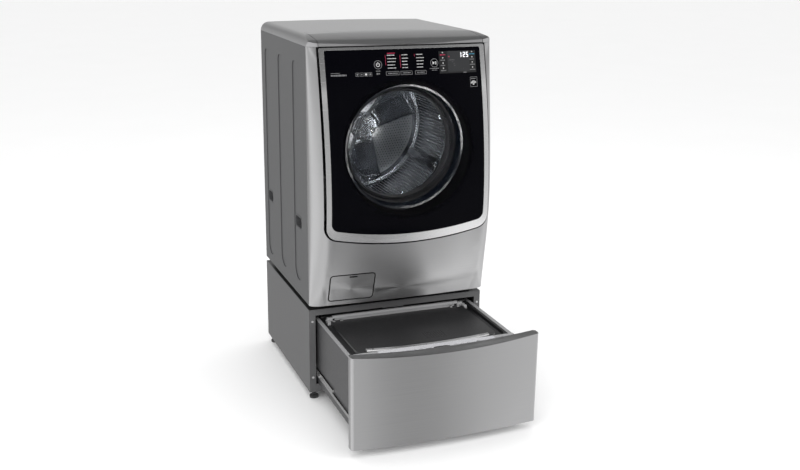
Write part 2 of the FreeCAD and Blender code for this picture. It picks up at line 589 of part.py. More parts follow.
save("drum_lifters", group([lifter(angle) for angle in (60, 180, 300)]))
SPIDER_HUB_R, SPIDER_REACH, SPIDER_ARM_HALF = 34.0, 225.0, 12.0
spider_hub = rod(SPIDER_HUB_R, V(0, HUB_FACE + 0.1, DRUM_Z), Y_AXIS, DRUM_BACK + 12 - HUB_FACE)
spider_arms = []
for angle in (0, 120, 240):
    spider_arm = box(-SPIDER_ARM_HALF, SPIDER_ARM_HALF, DRUM_BACK + 0.1, DRUM_BACK + 10,
                     DRUM_Z, DRUM_Z + SPIDER_REACH)
    spider_arm.rotate(WASH, Y_AXIS, angle)
    spider_arms.append(spider_arm)
drive_shaft = rod(SHAFT_R, V(0, DRUM_BACK + 5, DRUM_Z), Y_AXIS, 105)
save("drum_spider_shaft", joined([spider_hub, drive_shaft] + spider_arms))
save("shaft_bearings", group([pipe(BEARING_SEAT_R - 0.1, SHAFT_R + RUNNING_FIT, V(0, y, DRUM_Z), Y_AXIS, 15)
                              for y in (TUB_BACK + 4, TUB_BACK + 30)]))
STATOR_FRONT, STATOR_BACK, STATOR_R, STATOR_BORE = 486.0, 514.0, 140.0, 92.0
stator = pipe(STATOR_R, STATOR_BORE, V(0, STATOR_FRONT, DRUM_Z), Y_AXIS, STATOR_BACK - STATOR_FRONT)
stator_mount = pipe(STATOR_BORE + 4, BEARING_HOUSE_R + 0.2, V(0, STATOR_FRONT, DRUM_Z), Y_AXIS, 5)
save("motor_stator", joined([stator, stator_mount]))
ROTOR_FRONT, ROTOR_FLOOR, ROTOR_BACK, ROTOR_R, ROTOR_WALL = 484.0, 524.0, 530.0, 152.0, 8.0
SPLINE_FIT = 0.02
rotor_profile = ((0, ROTOR_FLOOR), (0, ROTOR_BACK), (ROTOR_R, ROTOR_BACK), (ROTOR_R, ROTOR_FRONT),
                 (ROTOR_R - ROTOR_WALL, ROTOR_FRONT), (ROTOR_R - ROTOR_WALL, ROTOR_FLOOR))
rotor = turned(rotor_profile, WASH, Y_AXIS).cut(rod(SHAFT_R + SPLINE_FIT, V(0, 500, DRUM_Z), Y_AXIS, 60))
save("motor_rotor", rotor)


WEIGHT_INNER, WEIGHT_OUTER, WEIGHT_FRONT, WEIGHT_SWEEP = 225.0, 286.0, 8.0, 100.0


def weight(start, sweep):
    """Ring segment bolted to the front of the tub."""
    front, back = WEIGHT_FRONT, TUB_FRONT - 2
    outline = ((WEIGHT_INNER, front), (WEIGHT_OUTER, front), (WEIGHT_OUTER, back), (WEIGHT_INNER, back))
    points = [V(r, d, DRUM_Z) for r, d in outline]
    block = Part.Face(Part.Wire(polygon(points))).revolve(WASH, Y_AXIS, sweep)
    block.rotate(WASH, Y_AXIS, start)
    return block


save("counterweights", group([weight(-140, WEIGHT_SWEEP), weight(40, WEIGHT_SWEEP)]))
gasket_profile = ((MOUTH_R + 5, BULKHEAD_Y + 0.5), (MOUTH_R + 5, 30), (MOUTH_R + 9, 45), (MOUTH_R + 9, 52),
                  (MOUTH_R + 1, 52), (MOUTH_R - 2, 34), (MOUTH_R - 18, 26), (MOUTH_R - 18, -8),
                  (MOUTH_R - 12, -8), (MOUTH_R - 11, 18),
                  (MOUTH_R - 1, 22), (MOUTH_R, BULKHEAD_Y - 4), (MOUTH_R + 12, BULKHEAD_Y - 4),
                  (MOUTH_R + 12, BULKHEAD_Y - 0.3), (MOUTH_R + 5, BULKHEAD_Y - 0.3))
save("door_gasket", turned(gasket_profile, WASH, Y_AXIS))

SPRING_LOW, SPRING_HIGH = DRUM_Z + 124, 1322.0
SPRING_X, SPRING_Y, SPRING_R = 270.0, (180.0, 340.0), 9.0
springs = [rod(SPRING_R, V(x, y, SPRING_LOW), Z_AXIS, SPRING_HIGH - SPRING_LOW)
           for x in (-SPRING_X, SPRING_X) for y in SPRING_Y]
save("tub_springs", group(springs))
DAMPER_FOOT_X, DAMPER_TOP_X, DAMPER_Y = 217.5, 157.5, (215.0, 390.0)
dampers = []
for side, y in [(side, y) for y in DAMPER_Y for side in (-1, 1)]:
    foot = V(side * DAMPER_FOOT_X, y, WASHER_BOTTOM + 10)
    top = V(side * DAMPER_TOP_X, y, DRUM_Z - TUB_R * 0.86)
    reach = top - foot
    sleeve = rod(14, foot, reach, reach.Length * 0.6)
    dampers.append(sleeve.fuse(rod(7, foot, reach, reach.Length - 3)))
save("tub_dampers", group(dampers))

VALVE_FRONT, VALVE_HALF_HEIGHT = 560.0, 25.0
valve_body = box(NOZZLES[0][0] - 25, NOZZLES[1][0] + 25, VALVE_FRONT, CABINET_DEPTH - SHEET - 1,
                 NOZZLES[0][1] - VALVE_HALF_HEIGHT, NOZZLES[0][1] + VALVE_HALF_HEIGHT)
FLANGE_FRONT, FLANGE_BACK = CABINET_DEPTH + 0.2, CABINET_DEPTH + 2


def outlet(radius, bore, x, start, z):
    """Hose nozzle through the back panel, with a flange on the panel's outer face."""
    tube = rod(radius, V(x, start, z), Y_AXIS, BACK_MOST - start)
    flange = rod(radius + 5, V(x, FLANGE_FRONT, z), Y_AXIS, FLANGE_BACK - FLANGE_FRONT)
    return joined([tube, flange]).cut(rod(bore, V(x, start + 1, z), Y_AXIS, 200))


nozzles = [outlet(NOZZLE_R, NOZZLE_BORE, x, CABINET_DEPTH - 12, z) for x, z in NOZZLES]
save("inlet_valves", joined([valve_body] + nozzles))
save("drain_outlet", outlet(DRAIN_R, DRAIN_R - 3, DRAIN_X, CABINET_DEPTH - 49, DRAIN_Z))


# ---- pedestal cabinet ----
def pedestal_sheet():
    left = box(-HALF, -HALF + SHEET, 0, CABINET_DEPTH, FOOT_HEIGHT, PEDESTAL_TOP - SHEET)
    flange = box(-HALF, -OPENING_HALF, 0, SHEET, FOOT_HEIGHT, PEDESTAL_TOP - SHEET)
    lip = box(-OPENING_HALF - SHEET, -OPENING_HALF, 0, 18, RAIL_LOW_TOP, RAIL_HIGH_LOW)
    half = joined([left, flange, lip])
    rear = box(-HALF, HALF, CABINET_DEPTH - SHEET, CABINET_DEPTH, FOOT_HEIGHT, PEDESTAL_TOP - SHEET)
    return joined([half, half.mirror(V(0, 0, 0), X_AXIS), rear])


PEDESTAL_DRAIN_X, PEDESTAL_DRAIN_Z = 250.0, 250.0
PEDESTAL_INLET_X, PEDESTAL_INLET_Z = -250.0, 300.0
cabinet = joined([pedestal_sheet(),
                  box(-HALF + SHEET, HALF - SHEET, SHEET, CABINET_DEPTH - SHEET, FOOT_HEIGHT, FOOT_HEIGHT + SHEET),
                  rod(DRAIN_R, V(PEDESTAL_DRAIN_X, CABINET_DEPTH - 1, PEDESTAL_DRAIN_Z), Y_AXIS, NOZZLE_LENGTH + 1),
                  rod(NOZZLE_R, V(PEDESTAL_INLET_X, CABINET_DEPTH - 1, PEDESTAL_INLET_Z), Y_AXIS,
                      NOZZLE_LENGTH + 1)])
cabinet = cabinet.cut(rod(DRAIN_R - 3, V(PEDESTAL_DRAIN_X, CABINET_DEPTH - 5, PEDESTAL_DRAIN_Z), Y_AXIS, 40))
inlet_bore = rod(NOZZLE_BORE, V(PEDESTAL_INLET_X, CABINET_DEPTH - 5, PEDESTAL_INLET_Z), Y_AXIS, 40)
save("pedestal_cabinet", cabinet.cut(inlet_bore))
save("pedestal_top_plate", box(-HALF, HALF, 0, CABINET_DEPTH, PEDESTAL_TOP - SHEET, PEDESTAL_TOP))
rail_x = OPENING_HALF + 10
TOP_RAIL_BACK, LOW_RAIL_BACK = 22.0, 40.0
top_rail = box(-rail_x, rail_x, SHEET + 0.2, TOP_RAIL_BACK, RAIL_HIGH_LOW, PEDESTAL_TOP - SHEET)
top_rail = top_rail.cut(box(-rail_x, rail_x, SHEET + 2.2, 30, RAIL_HIGH_LOW + 2, PEDESTAL_TOP))
top_face = box(-OPENING_HALF, OPENING_HALF, 0, SHEET + 0.2, RAIL_HIGH_LOW, PEDESTAL_TOP - SHEET)
low_rail = box(-rail_x, rail_x, SHEET + 0.2, LOW_RAIL_BACK, FOOT_HEIGHT + SHEET, RAIL_LOW_TOP)
low_rail = low_rail.cut(box(-rail_x, rail_x, SHEET + 2.2, 50, FOOT_HEIGHT, RAIL_LOW_TOP - 2))
low_face = box(-OPENING_HALF, OPENING_HALF, 0, SHEET + 0.2, FOOT_HEIGHT + SHEET, RAIL_LOW_TOP)
save("pedestal_rails", group([joined([top_rail, top_face]), joined([low_rail, low_face])]))

LEVEL_X, LEVEL_FRONT, LEVEL_BACK = 327.0, 25.0, 620.0
PAD_R, PAD_HEIGHT, STUD_R = 17.5, 8.0, 5.0
NUT_R, NUT_LOW, NUT_HEIGHT = 9.0, 14.0, 7.0
levellers = []
for x in (-LEVEL_X, LEVEL_X):
    for y in (LEVEL_FRONT, LEVEL_BACK):
        pad = rod(PAD_R, V(x, y, 0), Z_AXIS, PAD_HEIGHT)
        corners = [math.radians(degrees) for degrees in range(0, 360, 60)]
        hexagon = polygon([V(x + NUT_R * math.cos(a), y + NUT_R * math.sin(a), NUT_LOW) for a in corners])
        stud = rod(STUD_R, V(x, y, PAD_HEIGHT - 1), Z_AXIS, FOOT_HEIGHT - PAD_HEIGHT + 1)
        levellers.append(joined([pad, stud, extruded(hexagon, V(0, 0, NUT_HEIGHT))]))
save("levelling_feet", group(levellers))
SCREW_R, SCREW_PROUD, SCREW_X, SCREW_Z = 4.5, 1.8, 337.0, (92.0, 317.0)
screws = [rod(SCREW_R, V(x, -SCREW_PROUD, z), Y_AXIS, SCREW_PROUD) for x in (-SCREW_X, SCREW_X) for z in SCREW_Z]
save("flange_screws", group(screws))

# ---- telescopic slides: three bars a side, stacked in height ----
RAIL_X0, RAIL_X1 = BOX_HALF + 1.2, OPENING_HALF - 1.2
RAIL_LENGTH = 540.0
RAIL_H, RAIL_STEP, RAIL_Z, RAIL_HOME = 12.0, 12.6, 100.0, 22.0


def slide_rail(level, y0):
    z = RAIL_Z + RAIL_STEP * level
    return box(RAIL_X0, RAIL_X1, y0, y0 + RAIL_LENGTH, z, z + RAIL_H)


fixed_rail = slide_rail(2, RAIL_HOME)
rail_bracket = box(RAIL_X1 - 0.01, HALF - SHEET, 60, 540, RAIL_Z + 2 * RAIL_STEP + 2, RAIL_Z + 2 * RAIL_STEP + 10)
save("slide_rails_fixed", both_sides(joined([fixed_rail, rail_bracket])))
save("slide_rails_middle", both_sides(slide_rail(1, RAIL_HOME - TRAVEL / 2)))
inner_bracket = box(BOX_HALF, RAIL_X0 + 0.01, RAIL_HOME - TRAVEL + 20, 60, RAIL_Z + 3, RAIL_Z + 9)
inner_rail = slide_rail(0, RAIL_HOME - TRAVEL).fuse(inner_bracket)
save("slide_rails_inner", both_sides(inner_rail.removeSplitter()))

# ---- drawer ----
FLANGE_TOP, FLANGE_WIDTH, FLANGE_SHEET = 318.0, 14.0, 1.5


def plan_rect(x0, x1, y0, y1, radius, z):
    return round_rect(x0, x1, y0, y1, radius, lambda u, v: V(u, v, z))


def plan_block(shrink, radius, z0, z1):
    """Block over the drawer's plan, drawn in by shrink on all four sides."""
    edges = plan_rect(-BOX_HALF + shrink, BOX_HALF - shrink, BOX_FRONT + shrink, BOX_BACK - shrink, radius, z0)
    return extruded(edges, V(0, 0, z1 - z0))


drawer_box = open_box(-BOX_HALF, BOX_HALF, BOX_FRONT, BOX_BACK, BOX_LOW, FLANGE_TOP, FLANGE_SHEET, FLANGE_SHEET)
flange = plan_block(0.5, 3, FLANGE_TOP - FLANGE_SHEET, FLANGE_TOP)
flange_return = plan_block(FLANGE_WIDTH - FLANGE_SHEET, 8, RIM_LOW, FLANGE_TOP)
flange_hole = plan_block(FLANGE_WIDTH, 6, RIM_LOW - 1, FLANGE_TOP + 1)
save("drawer_box", joined([drawer_box, flange.cut(flange_hole), flange_return.cut(flange_hole)]))


def bowed_front(y_shift, z0, z1, half, back_y):
    front = [V(-half, FRONT_ENDS_Y + y_shift, z0), V(0, FRONT_ENDS_Y - FRONT_BOW + y_shift, z0),
             V(half, FRONT_ENDS_Y + y_shift, z0)]
    right, left = V(half, back_y, z0), V(-half, back_y, z0)
    return extruded([arc(*front), line(front[2], right), line(right, left), line(left, front[0])],
                    V(0, 0, z1 - z0))


def above_front(lower):
    """Block above the drawer front's top edge, which dips in the middle."""
    y, high = FRONT_MOST - 20, FRONT_HIGH + 20
    left, right = V(-HALF, y, FRONT_HIGH - lower), V(HALF, y, FRONT_HIGH - lower)
    left_top, right_top = V(-HALF, y, high), V(HALF, y, high)
    return extruded([arc(left, V(0, y, FRONT_HIGH - FRONT_DIP - lower), right), line(right, right_top),
                     line(right_top, left_top), line(left_top, left)], V(0, 120, 0))


BACKING_Y = BOX_FRONT - 8
FRONT_EDGE_R, FRONT_SHEET = 9.0, 3.0
BACKING_HOLE_HALF, BACKING_HOLE_LOW, BACKING_HOLE_HIGH = 300.0, 82.0, 298.0
skin = bowed_front(0, FRONT_LOW, FRONT_HIGH, FRONT_HALF, BACKING_Y)
upright = [edge for edge in skin.Edges if abs(edge.tangentAt(edge.FirstParameter).z) > 0.9
           and edge.BoundBox.YMax < BOX_FRONT - 20]
skin = skin.makeFillet(FRONT_EDGE_R, upright).cut(above_front(0))
hollow_front = bowed_front(FRONT_SHEET, FRONT_LOW + FRONT_SHEET, FRONT_HIGH, FRONT_HALF - 7, BOX_FRONT + 1)
hollow_front = hollow_front.cut(above_front(FRONT_SHEET))
backing = box(-FRONT_HALF + 3, FRONT_HALF - 3, BACKING_Y - 1, BOX_FRONT - 0.2, FRONT_LOW + 1, FRONT_HIGH)
backing_hole = box(-BACKING_HOLE_HALF, BACKING_HOLE_HALF, BACKING_Y - 10, BOX_FRONT + 10,
                   BACKING_HOLE_LOW, BACKING_HOLE_HIGH)
backing = backing.cut(above_front(FRONT_SHEET / 2)).cut(backing_hole)
save("drawer_front_panel", joined([skin.cut(hollow_front), backing]))


WELL_HALF, WELL_FRONT, WELL_BACK, WELL_R = 294.0, -350.0, 24.0, 34.0
rim = plan_block(FLANGE_WIDTH + 0.5, 5, RIM_LOW, RIM_TOP)
well = extruded(plan_rect(-WELL_HALF, WELL_HALF, WELL_FRONT, WELL_BACK, WELL_R, RIM_LOW + 3), V(0, 0, 30))
mouth = rod(MINI_DRUM_R + 6, V(0, MINI_Y, RIM_LOW - 10), Z_AXIS, 40)
LEDGE_TOP, LEDGE_BACK = 333.0, -382.0
LEDGE_HALF, LEDGE_LOW = BOX_HALF - FLANGE_WIDTH - 0.5, RIM_TOP + 0.2
ledge_outline = ((-362, LEDGE_LOW), (-376, LEDGE_TOP - 3), (LEDGE_BACK, LEDGE_TOP), (BOX_FRONT + 0.3, LEDGE_TOP),
                 (BOX_FRONT + 0.3, FLANGE_TOP + 0.2), (BOX_FRONT + FLANGE_WIDTH + 7, FLANGE_TOP + 0.2),
                 (BOX_FRONT + FLANGE_WIDTH + 7, LEDGE_LOW))
ledge = extruded(polygon([V(-LEDGE_HALF, y, z) for y, z in ledge_outline]), V(2 * LEDGE_HALF, 0, 0))
REAR_DECK_Y = 26.0
rear_deck = box(-LEDGE_HALF + 6, LEDGE_HALF - 6, REAR_DECK_Y, BOX_BACK - 20, RIM_TOP - 1, RIM_TOP + 6)
CATCH_R, CATCH_X, CATCH_Y = 6.0, 250.0, -407.0
catch_hole = rod(CATCH_R, V(CATCH_X, CATCH_Y, LEDGE_TOP - 8), Z_AXIS, 20)
rim = joined([rim.cut(well).cut(mouth), rear_deck])
ledge = ledge.cut(catch_hole)

STRIP_HALF, STRIP_FRONT, STRIP_BACK = 220.0, -448.0, -386.0
STRIP_T, DISPLAY_T = 1.6, 0.6
BUTTONS = (-178.0, 150.0)
BUTTON_R, BUTTON_Y = 8.0, -420.0
BUTTON_LOW, BUTTON_TOP, POCKET_LOW = 330.0, 336.2, 327.0
strip = extruded(plan_rect(-STRIP_HALF, STRIP_HALF, STRIP_FRONT, STRIP_BACK, 6, LEDGE_TOP + 0.1), V(0, 0, STRIP_T))
DISPLAY_X0, DISPLAY_X1, DISPLAY_FRONT, DISPLAY_BACK = -24.0, 40.0, -446.0, -414.0
display = extruded(plan_rect(DISPLAY_X0, DISPLAY_X1, DISPLAY_FRONT, DISPLAY_BACK, 4, LEDGE_TOP + STRIP_T),
                   V(0, 0, DISPLAY_T))
strip = joined([strip, display])
for name, x in zip(("power_button", "start_button"), BUTTONS):
    pocket = rod(BUTTON_R + 0.4, V(x, BUTTON_Y, POCKET_LOW), Z_AXIS, 20)
    strip = strip.cut(pocket)
    ledge = ledge.cut(pocket)
    save(name, rod(BUTTON_R, V(x, BUTTON_Y, BUTTON_LOW), Z_AXIS, BUTTON_TOP - BUTTON_LOW))
save("drawer_rim", rim)
save("control_ledge", ledge)
save("control_strip", strip)

# ---- drawer lid ----
LID_CORNER = 30.0
corner_in = LID_CORNER * (1 - math.sqrt(0.5))
lid_front = [V(-LID_HALF + LID_CORNER, LID_FRONT, LID_LOW), V(0, LID_FRONT - LID_BOW, LID_LOW),
             V(LID_HALF - LID_CORNER, LID_FRONT, LID_LOW)]
left_low, right_low = V(-LID_HALF, LID_FRONT + LID_CORNER, LID_LOW), V(LID_HALF, LID_FRONT + LID_CORNER, LID_LOW)
left_knee = V(-LID_HALF + corner_in, LID_FRONT + corner_in, LID_LOW)
right_knee = V(LID_HALF - corner_in, LID_FRONT + corner_in, LID_LOW)
left_back, right_back = V(-LID_HALF, LID_BACK, LID_LOW), V(LID_HALF, LID_BACK, LID_LOW)
lid = extruded([arc(*lid_front), arc(lid_front[2], right_knee, right_low), line(right_low, right_back),
                line(right_back, left_back), line(left_back, left_low),
                arc(left_low, left_knee, lid_front[0])], V(0, 0, LID_TOP - LID_LOW))
LID_HINGES = (-240.0, 240.0)
LID_PIN_R, LID_KNUCKLE_R, LID_KNUCKLE_HALF = 2.5, 4.0, 9.6
lid_hinges = []
for x in LID_HINGES:
    lid = lid.cut(box(x - 21, x + 21, -16, 0, LID_LOW - 5, LID_TOP + 5))
    arm = box(x - LID_KNUCKLE_HALF, x + LID_KNUCKLE_HALF, -17, LID_AXIS_Y, LID_AXIS_Z - 2, LID_AXIS_Z + 2)
    barrel = rod(LID_KNUCKLE_R, V(x - LID_KNUCKLE_HALF, LID_AXIS_Y, LID_AXIS_Z), X_AXIS, 2 * LID_KNUCKLE_HALF)
    pin_hole = rod(LID_PIN_R + RUNNING_FIT, V(x - 30, LID_AXIS_Y, LID_AXIS_Z), X_AXIS, 60)
    lid = lid.fuse(arm.fuse(barrel).cut(pin_hole))
    ears = [box(x + side - 5, x + side + 5, LID_AXIS_Y - 4, LID_AXIS_Y + 6, RIM_LOW + 3, LID_AXIS_Z + 4)
            for side in (-15, 15)]
    lid_hinges.append(joined(ears + [rod(LID_PIN_R, V(x - 18, LID_AXIS_Y, LID_AXIS_Z), X_AXIS, 36)]))
save("drawer_lid", lid.removeSplitter())
save("lid_hinges", group(lid_hinges))
TRIM_HALF, TRIM_T, TRIM_PROUD, TRIM_WIDTH = 235.0, 5.0, 5.0, 14.0
trim_front = [V(-TRIM_HALF, LID_FRONT - TRIM_PROUD + 2, LID_TOP + 0.1),
              V(0, LID_FRONT - LID_BOW - TRIM_PROUD, LID_TOP + 0.1),
              V(TRIM_HALF, LID_FRONT - TRIM_PROUD + 2, LID_TOP + 0.1)]
trim_back = [p + V(0, TRIM_WIDTH, 0) for p in trim_front]
save("lid_handle_trim", extruded([arc(*trim_front), line(trim_front[2], trim_back[2]), arc(*reversed(trim_back)),
                                  line(trim_back[0], trim_front[0])], V(0, 0, TRIM_T)))
BAR_HALF, BAR_FRONT, BAR_BACK, BAR_TOP = 256.0, 8.0, 18.0, 326.0
WELL_FLOOR = RIM_LOW + 3.2
hinge_bar = joined([box(-BAR_HALF, BAR_HALF, BAR_FRONT, BAR_BACK, RIM_TOP, BAR_TOP),
                    box(-BAR_HALF + 10, BAR_HALF - 10, BAR_FRONT + 5, BAR_BACK, WELL_FLOOR, RIM_TOP + 1)])
end_cap = joined([box(BAR_HALF + 0.2, 278, BAR_FRONT - 1, BAR_BACK - 0.5, WELL_FLOOR, BAR_TOP - 5),
                  box(272, 284, -24, BAR_FRONT - 0.5, WELL_FLOOR, RIM_TOP)])
LATCH_HALF, LATCH_FRONT, LATCH_BACK, LATCH_LOW, LATCH_HIGH = 43.0, 40.0, 64.0, RIM_TOP + 6.2, 334.0
latch = joined([box(-LATCH_HALF, LATCH_HALF, LATCH_FRONT, LATCH_BACK, LATCH_LOW, RIM_TOP + 9),
                box(-LATCH_HALF, LATCH_HALF, LATCH_FRONT, LATCH_FRONT + 3, LATCH_LOW, LATCH_HIGH)])
save("drawer_rear_trim", group([hinge_bar, latch] + both_sides(end_cap).Solids))

# ---- mini washer inside the drawer ----
MINI = V(0, MINI_Y, 0)
MINI_TUB_LOW, MINI_TUB_HIGH, MINI_TUB_WALL = 96.0, 294.0, 4.0
mini_tub_profile = ((MINI_DRUM_R + 6, MINI_TUB_HIGH), (MINI_TUB_R, MINI_TUB_HIGH), (MINI_TUB_R, MINI_TUB_LOW),
                    (20, MINI_TUB_LOW), (20, MINI_TUB_LOW + MINI_TUB_WALL),
                    (MINI_TUB_R - MINI_TUB_WALL, MINI_TUB_LOW + MINI_TUB_WALL),
                    (MINI_TUB_R - MINI_TUB_WALL, MINI_TUB_HIGH - MINI_TUB_WALL),
                    (MINI_DRUM_R + 6, MINI_TUB_HIGH - MINI_TUB_WALL))
save("mini_tub", turned(mini_tub_profile, MINI, Z_AXIS))
mini_drum_profile = ((MINI_DRUM_R - 8, 286), (MINI_DRUM_R, 286), (MINI_DRUM_R, 108), (0, 108), (0, 111),
                     (MINI_DRUM_R - 2, 111), (MINI_DRUM_R - 2, 283), (MINI_DRUM_R - 8, 283))
save("mini_drum", joined([turned(mini_drum_profile, MINI, Z_AXIS), rod(8, V(0, MINI_Y, 92), Z_AXIS, 17)]))
pulsator_profile = ((0, 111.2), (100, 111.2), (100, 116), (40, 122), (30, 150), (0, 156))
pulsator = [turned(pulsator_profile, MINI, Z_AXIS)]
for angle in (0, 90, 180, 270):
    fin = box(20, 92, MINI_Y - 4, MINI_Y + 4, 113, 128)
    fin.rotate(MINI, Z_AXIS, angle)
    pulsator.append(fin)
save("pulsator", joined(pulsator))
MINI_MOTOR_R = 90.0
save("mini_motor", pipe(MINI_MOTOR_R, 9, V(0, MINI_Y, BOX_LOW + 3), Z_AXIS, MINI_TUB_LOW - BOX_LOW - 3))
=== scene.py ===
import json
import math

import bmesh
import bpy
import numpy as np
from mathutils import Matrix, Vector
from mathutils.bvhtree import BVHTree


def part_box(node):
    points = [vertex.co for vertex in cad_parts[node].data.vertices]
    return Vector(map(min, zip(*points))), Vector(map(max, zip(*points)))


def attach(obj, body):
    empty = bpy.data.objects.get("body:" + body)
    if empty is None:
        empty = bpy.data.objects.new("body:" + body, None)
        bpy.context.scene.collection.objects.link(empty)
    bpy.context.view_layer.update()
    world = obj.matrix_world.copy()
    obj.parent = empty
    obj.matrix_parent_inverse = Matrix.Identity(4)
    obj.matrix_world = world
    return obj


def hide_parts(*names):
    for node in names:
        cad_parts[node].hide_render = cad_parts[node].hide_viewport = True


# Looks of a front-loading washing machine on a pedestal with a pull-out mini washer.
# Metres, in the row's frame: X right seen from the front, -Y out of the front, Z up, floor at Z = 0.

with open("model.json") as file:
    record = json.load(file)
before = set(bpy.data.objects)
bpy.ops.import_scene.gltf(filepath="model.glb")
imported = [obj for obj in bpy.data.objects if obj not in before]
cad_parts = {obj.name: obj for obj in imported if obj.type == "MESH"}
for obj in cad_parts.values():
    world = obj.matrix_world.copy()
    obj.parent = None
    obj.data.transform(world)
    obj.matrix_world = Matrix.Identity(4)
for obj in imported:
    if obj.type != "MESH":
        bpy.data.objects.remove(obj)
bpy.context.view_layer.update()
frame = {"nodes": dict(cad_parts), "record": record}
NODES = frame["nodes"]
rng = np.random.default_rng(7)

# places that the looks share, taken from the CAD nodes
drum_low, drum_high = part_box("drum")
ring_low, ring_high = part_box("door_ring")
cover_low, cover_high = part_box("filter_cover")
DOOR_Z = (drum_low.z + drum_high.z) / 2
RING_R = ring_high.x
WINDOW_FADE = 0.030
DRAWER_FLANGE_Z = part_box("drawer_box")[1].z - 0.0014
COVER_CORNER, COVER_SEAM = 0.012, 0.0024
# planes just under the outer faces of the pedestal's cabinet
PEDESTAL_INNER_X = 0.3478
PEDESTAL_INNER_Y = (-0.0752, 0.5708)


# ---- node helpers ----
class Shader:
    """A Principled material with short calls for the nodes that feed it."""

    def __init__(self, name, colour, roughness, metallic=0.0, **sockets):
        material = bpy.data.materials.new(name)
        material.use_nodes = True
        self.hold(material)
        self.put("Base Color", tuple(colour) + (1.0,))
        self.put("Roughness", roughness)
        self.put("Metallic", metallic)
        for socket, value in sockets.items():
            self.put(socket.replace("_", " "), value)

    @classmethod
    def of(cls, material):
        """Helper calls on a material that exists already."""
        held = cls.__new__(cls)
        held.hold(material)
        return held

    def hold(self, material):
        self.material = material
        self.tree = material.node_tree
        self.principled = self.tree.nodes["Principled BSDF"]
        self.place = self.node("ShaderNodeTexCoord").outputs["Object"]

    def put(self, socket, value):
        self.principled.inputs[socket].default_value = value

    def node(self, kind, **settings):
        made = self.tree.nodes.new(kind)
        for key, value in settings.items():
            setattr(made, key, value)
        return made

    def link(self, source, target):
        self.tree.links.new(source, target)

    def feed(self, node, socket, value):
        if isinstance(value, bpy.types.NodeSocket):
            self.link(value, node.inputs[socket])
        else:
            node.inputs[socket].default_value = value

    def scaled(self, scale):
        mapping = self.node("ShaderNodeMapping")
        self.link(self.place, mapping.inputs["Vector"])
        mapping.inputs["Scale"].default_value = scale
        return mapping.outputs["Vector"]

    def noise(self, scale, detail=3.0, roughness=0.5, size=1.0):
        made = self.node("ShaderNodeTexNoise")
        self.link(self.scaled(scale), made.inputs["Vector"])
        made.inputs["Scale"].default_value = size
        made.inputs["Detail"].default_value = detail
        made.inputs["Roughness"].default_value = roughness
        return made.outputs["Fac"]

    def math(self, operation, a, b=0.0, c=0.0, clamp=False):
        made = self.node("ShaderNodeMath", operation=operation, use_clamp=clamp)
        for index, value in enumerate((a, b, c)):
            self.feed(made, index, value)
        return made.outputs[0]

    def remap(self, value, low, high, to_low=0.0, to_high=1.0, smooth=False):
        made = self.node("ShaderNodeMapRange")
        if smooth:
            made.interpolation_type = "SMOOTHSTEP"
        for index, item in enumerate((value, low, high, to_low, to_high)):
            self.feed(made, index, item)
        return made.outputs[0]

    def mix(self, factor, a, b):
        made = self.node("ShaderNodeMix", data_type="RGBA")
        self.feed(made, "Factor", factor)
        colour_sockets = [s for s in made.inputs if s.type == "RGBA"]
        for socket, value in zip(colour_sockets, (a, b)):
            if isinstance(value, bpy.types.NodeSocket):
                self.link(value, socket)
            else:
                socket.default_value = tuple(value) + (1.0,)
        return [s for s in made.outputs if s.type == "RGBA"][0]

    def axes(self):
        split = self.node("ShaderNodeSeparateXYZ")
        self.link(self.place, split.inputs[0])
        return split.outputs[0], split.outputs[1], split.outputs[2]

    def set(self, socket, source):
        self.link(source, self.principled.inputs[socket])

    def recolour(self, mask, colour):
        """Lay another colour over the present one wherever the mask is 1."""
        present = self.principled.inputs["Base Color"].links[0].from_socket
        self.set("Base Color", self.mix(mask, present, colour))

    def bump(self, height, distance, strength=1.0, radius=0.0):
        made = self.node("ShaderNodeBump")
        made.inputs["Strength"].default_value = strength
        made.inputs["Distance"].default_value = distance
        self.link(height, made.inputs["Height"])
        if radius:
            bevel = self.node("ShaderNodeBevel", samples=4)
            bevel.inputs["Radius"].default_value = radius
            self.link(bevel.outputs[0], made.inputs["Normal"])
        self.set("Normal", made.outputs[0])


def tint(colour, factor):
    return tuple(min(1.0, c * factor) for c in colour)


# ---- materials ----
def brushed(name, colour, roughness, grain=(6, 6, 900), wear=0.08, anisotropy=0.75, edge=0.0008):
    """Brushed metal: long fine scratches, slow drift of tone, slightly uneven gloss."""
    s = Shader(name, colour, roughness, 1.0, Anisotropic=anisotropy, Anisotropic_Rotation=0.25)
    s.set("Tangent", s.node("ShaderNodeTangent", direction_type="RADIAL", axis="Z").outputs[0])
    scratches = s.noise(grain, 4.0, 0.7)
    fine = s.noise(tuple(3 * g for g in grain), 2.0, 0.6)
    drift = s.noise((3, 3, 3), 2.0)
    streak = s.math("ADD", s.math("MULTIPLY", scratches, 0.65), s.math("MULTIPLY", fine, 0.35))
    base = s.mix(s.remap(streak, 0.3, 0.7), tint(colour, 1 - wear), tint(colour, 1 + wear))
    s.set("Base Color", s.mix(s.remap(drift, 0.35, 0.65), base, tint(colour, 0.97)))
    s.set("Roughness", s.remap(streak, 0.3, 0.7, roughness - 0.05, roughness + 0.07))
    s.bump(streak, 0.00004, 0.5, edge)
    return s.material


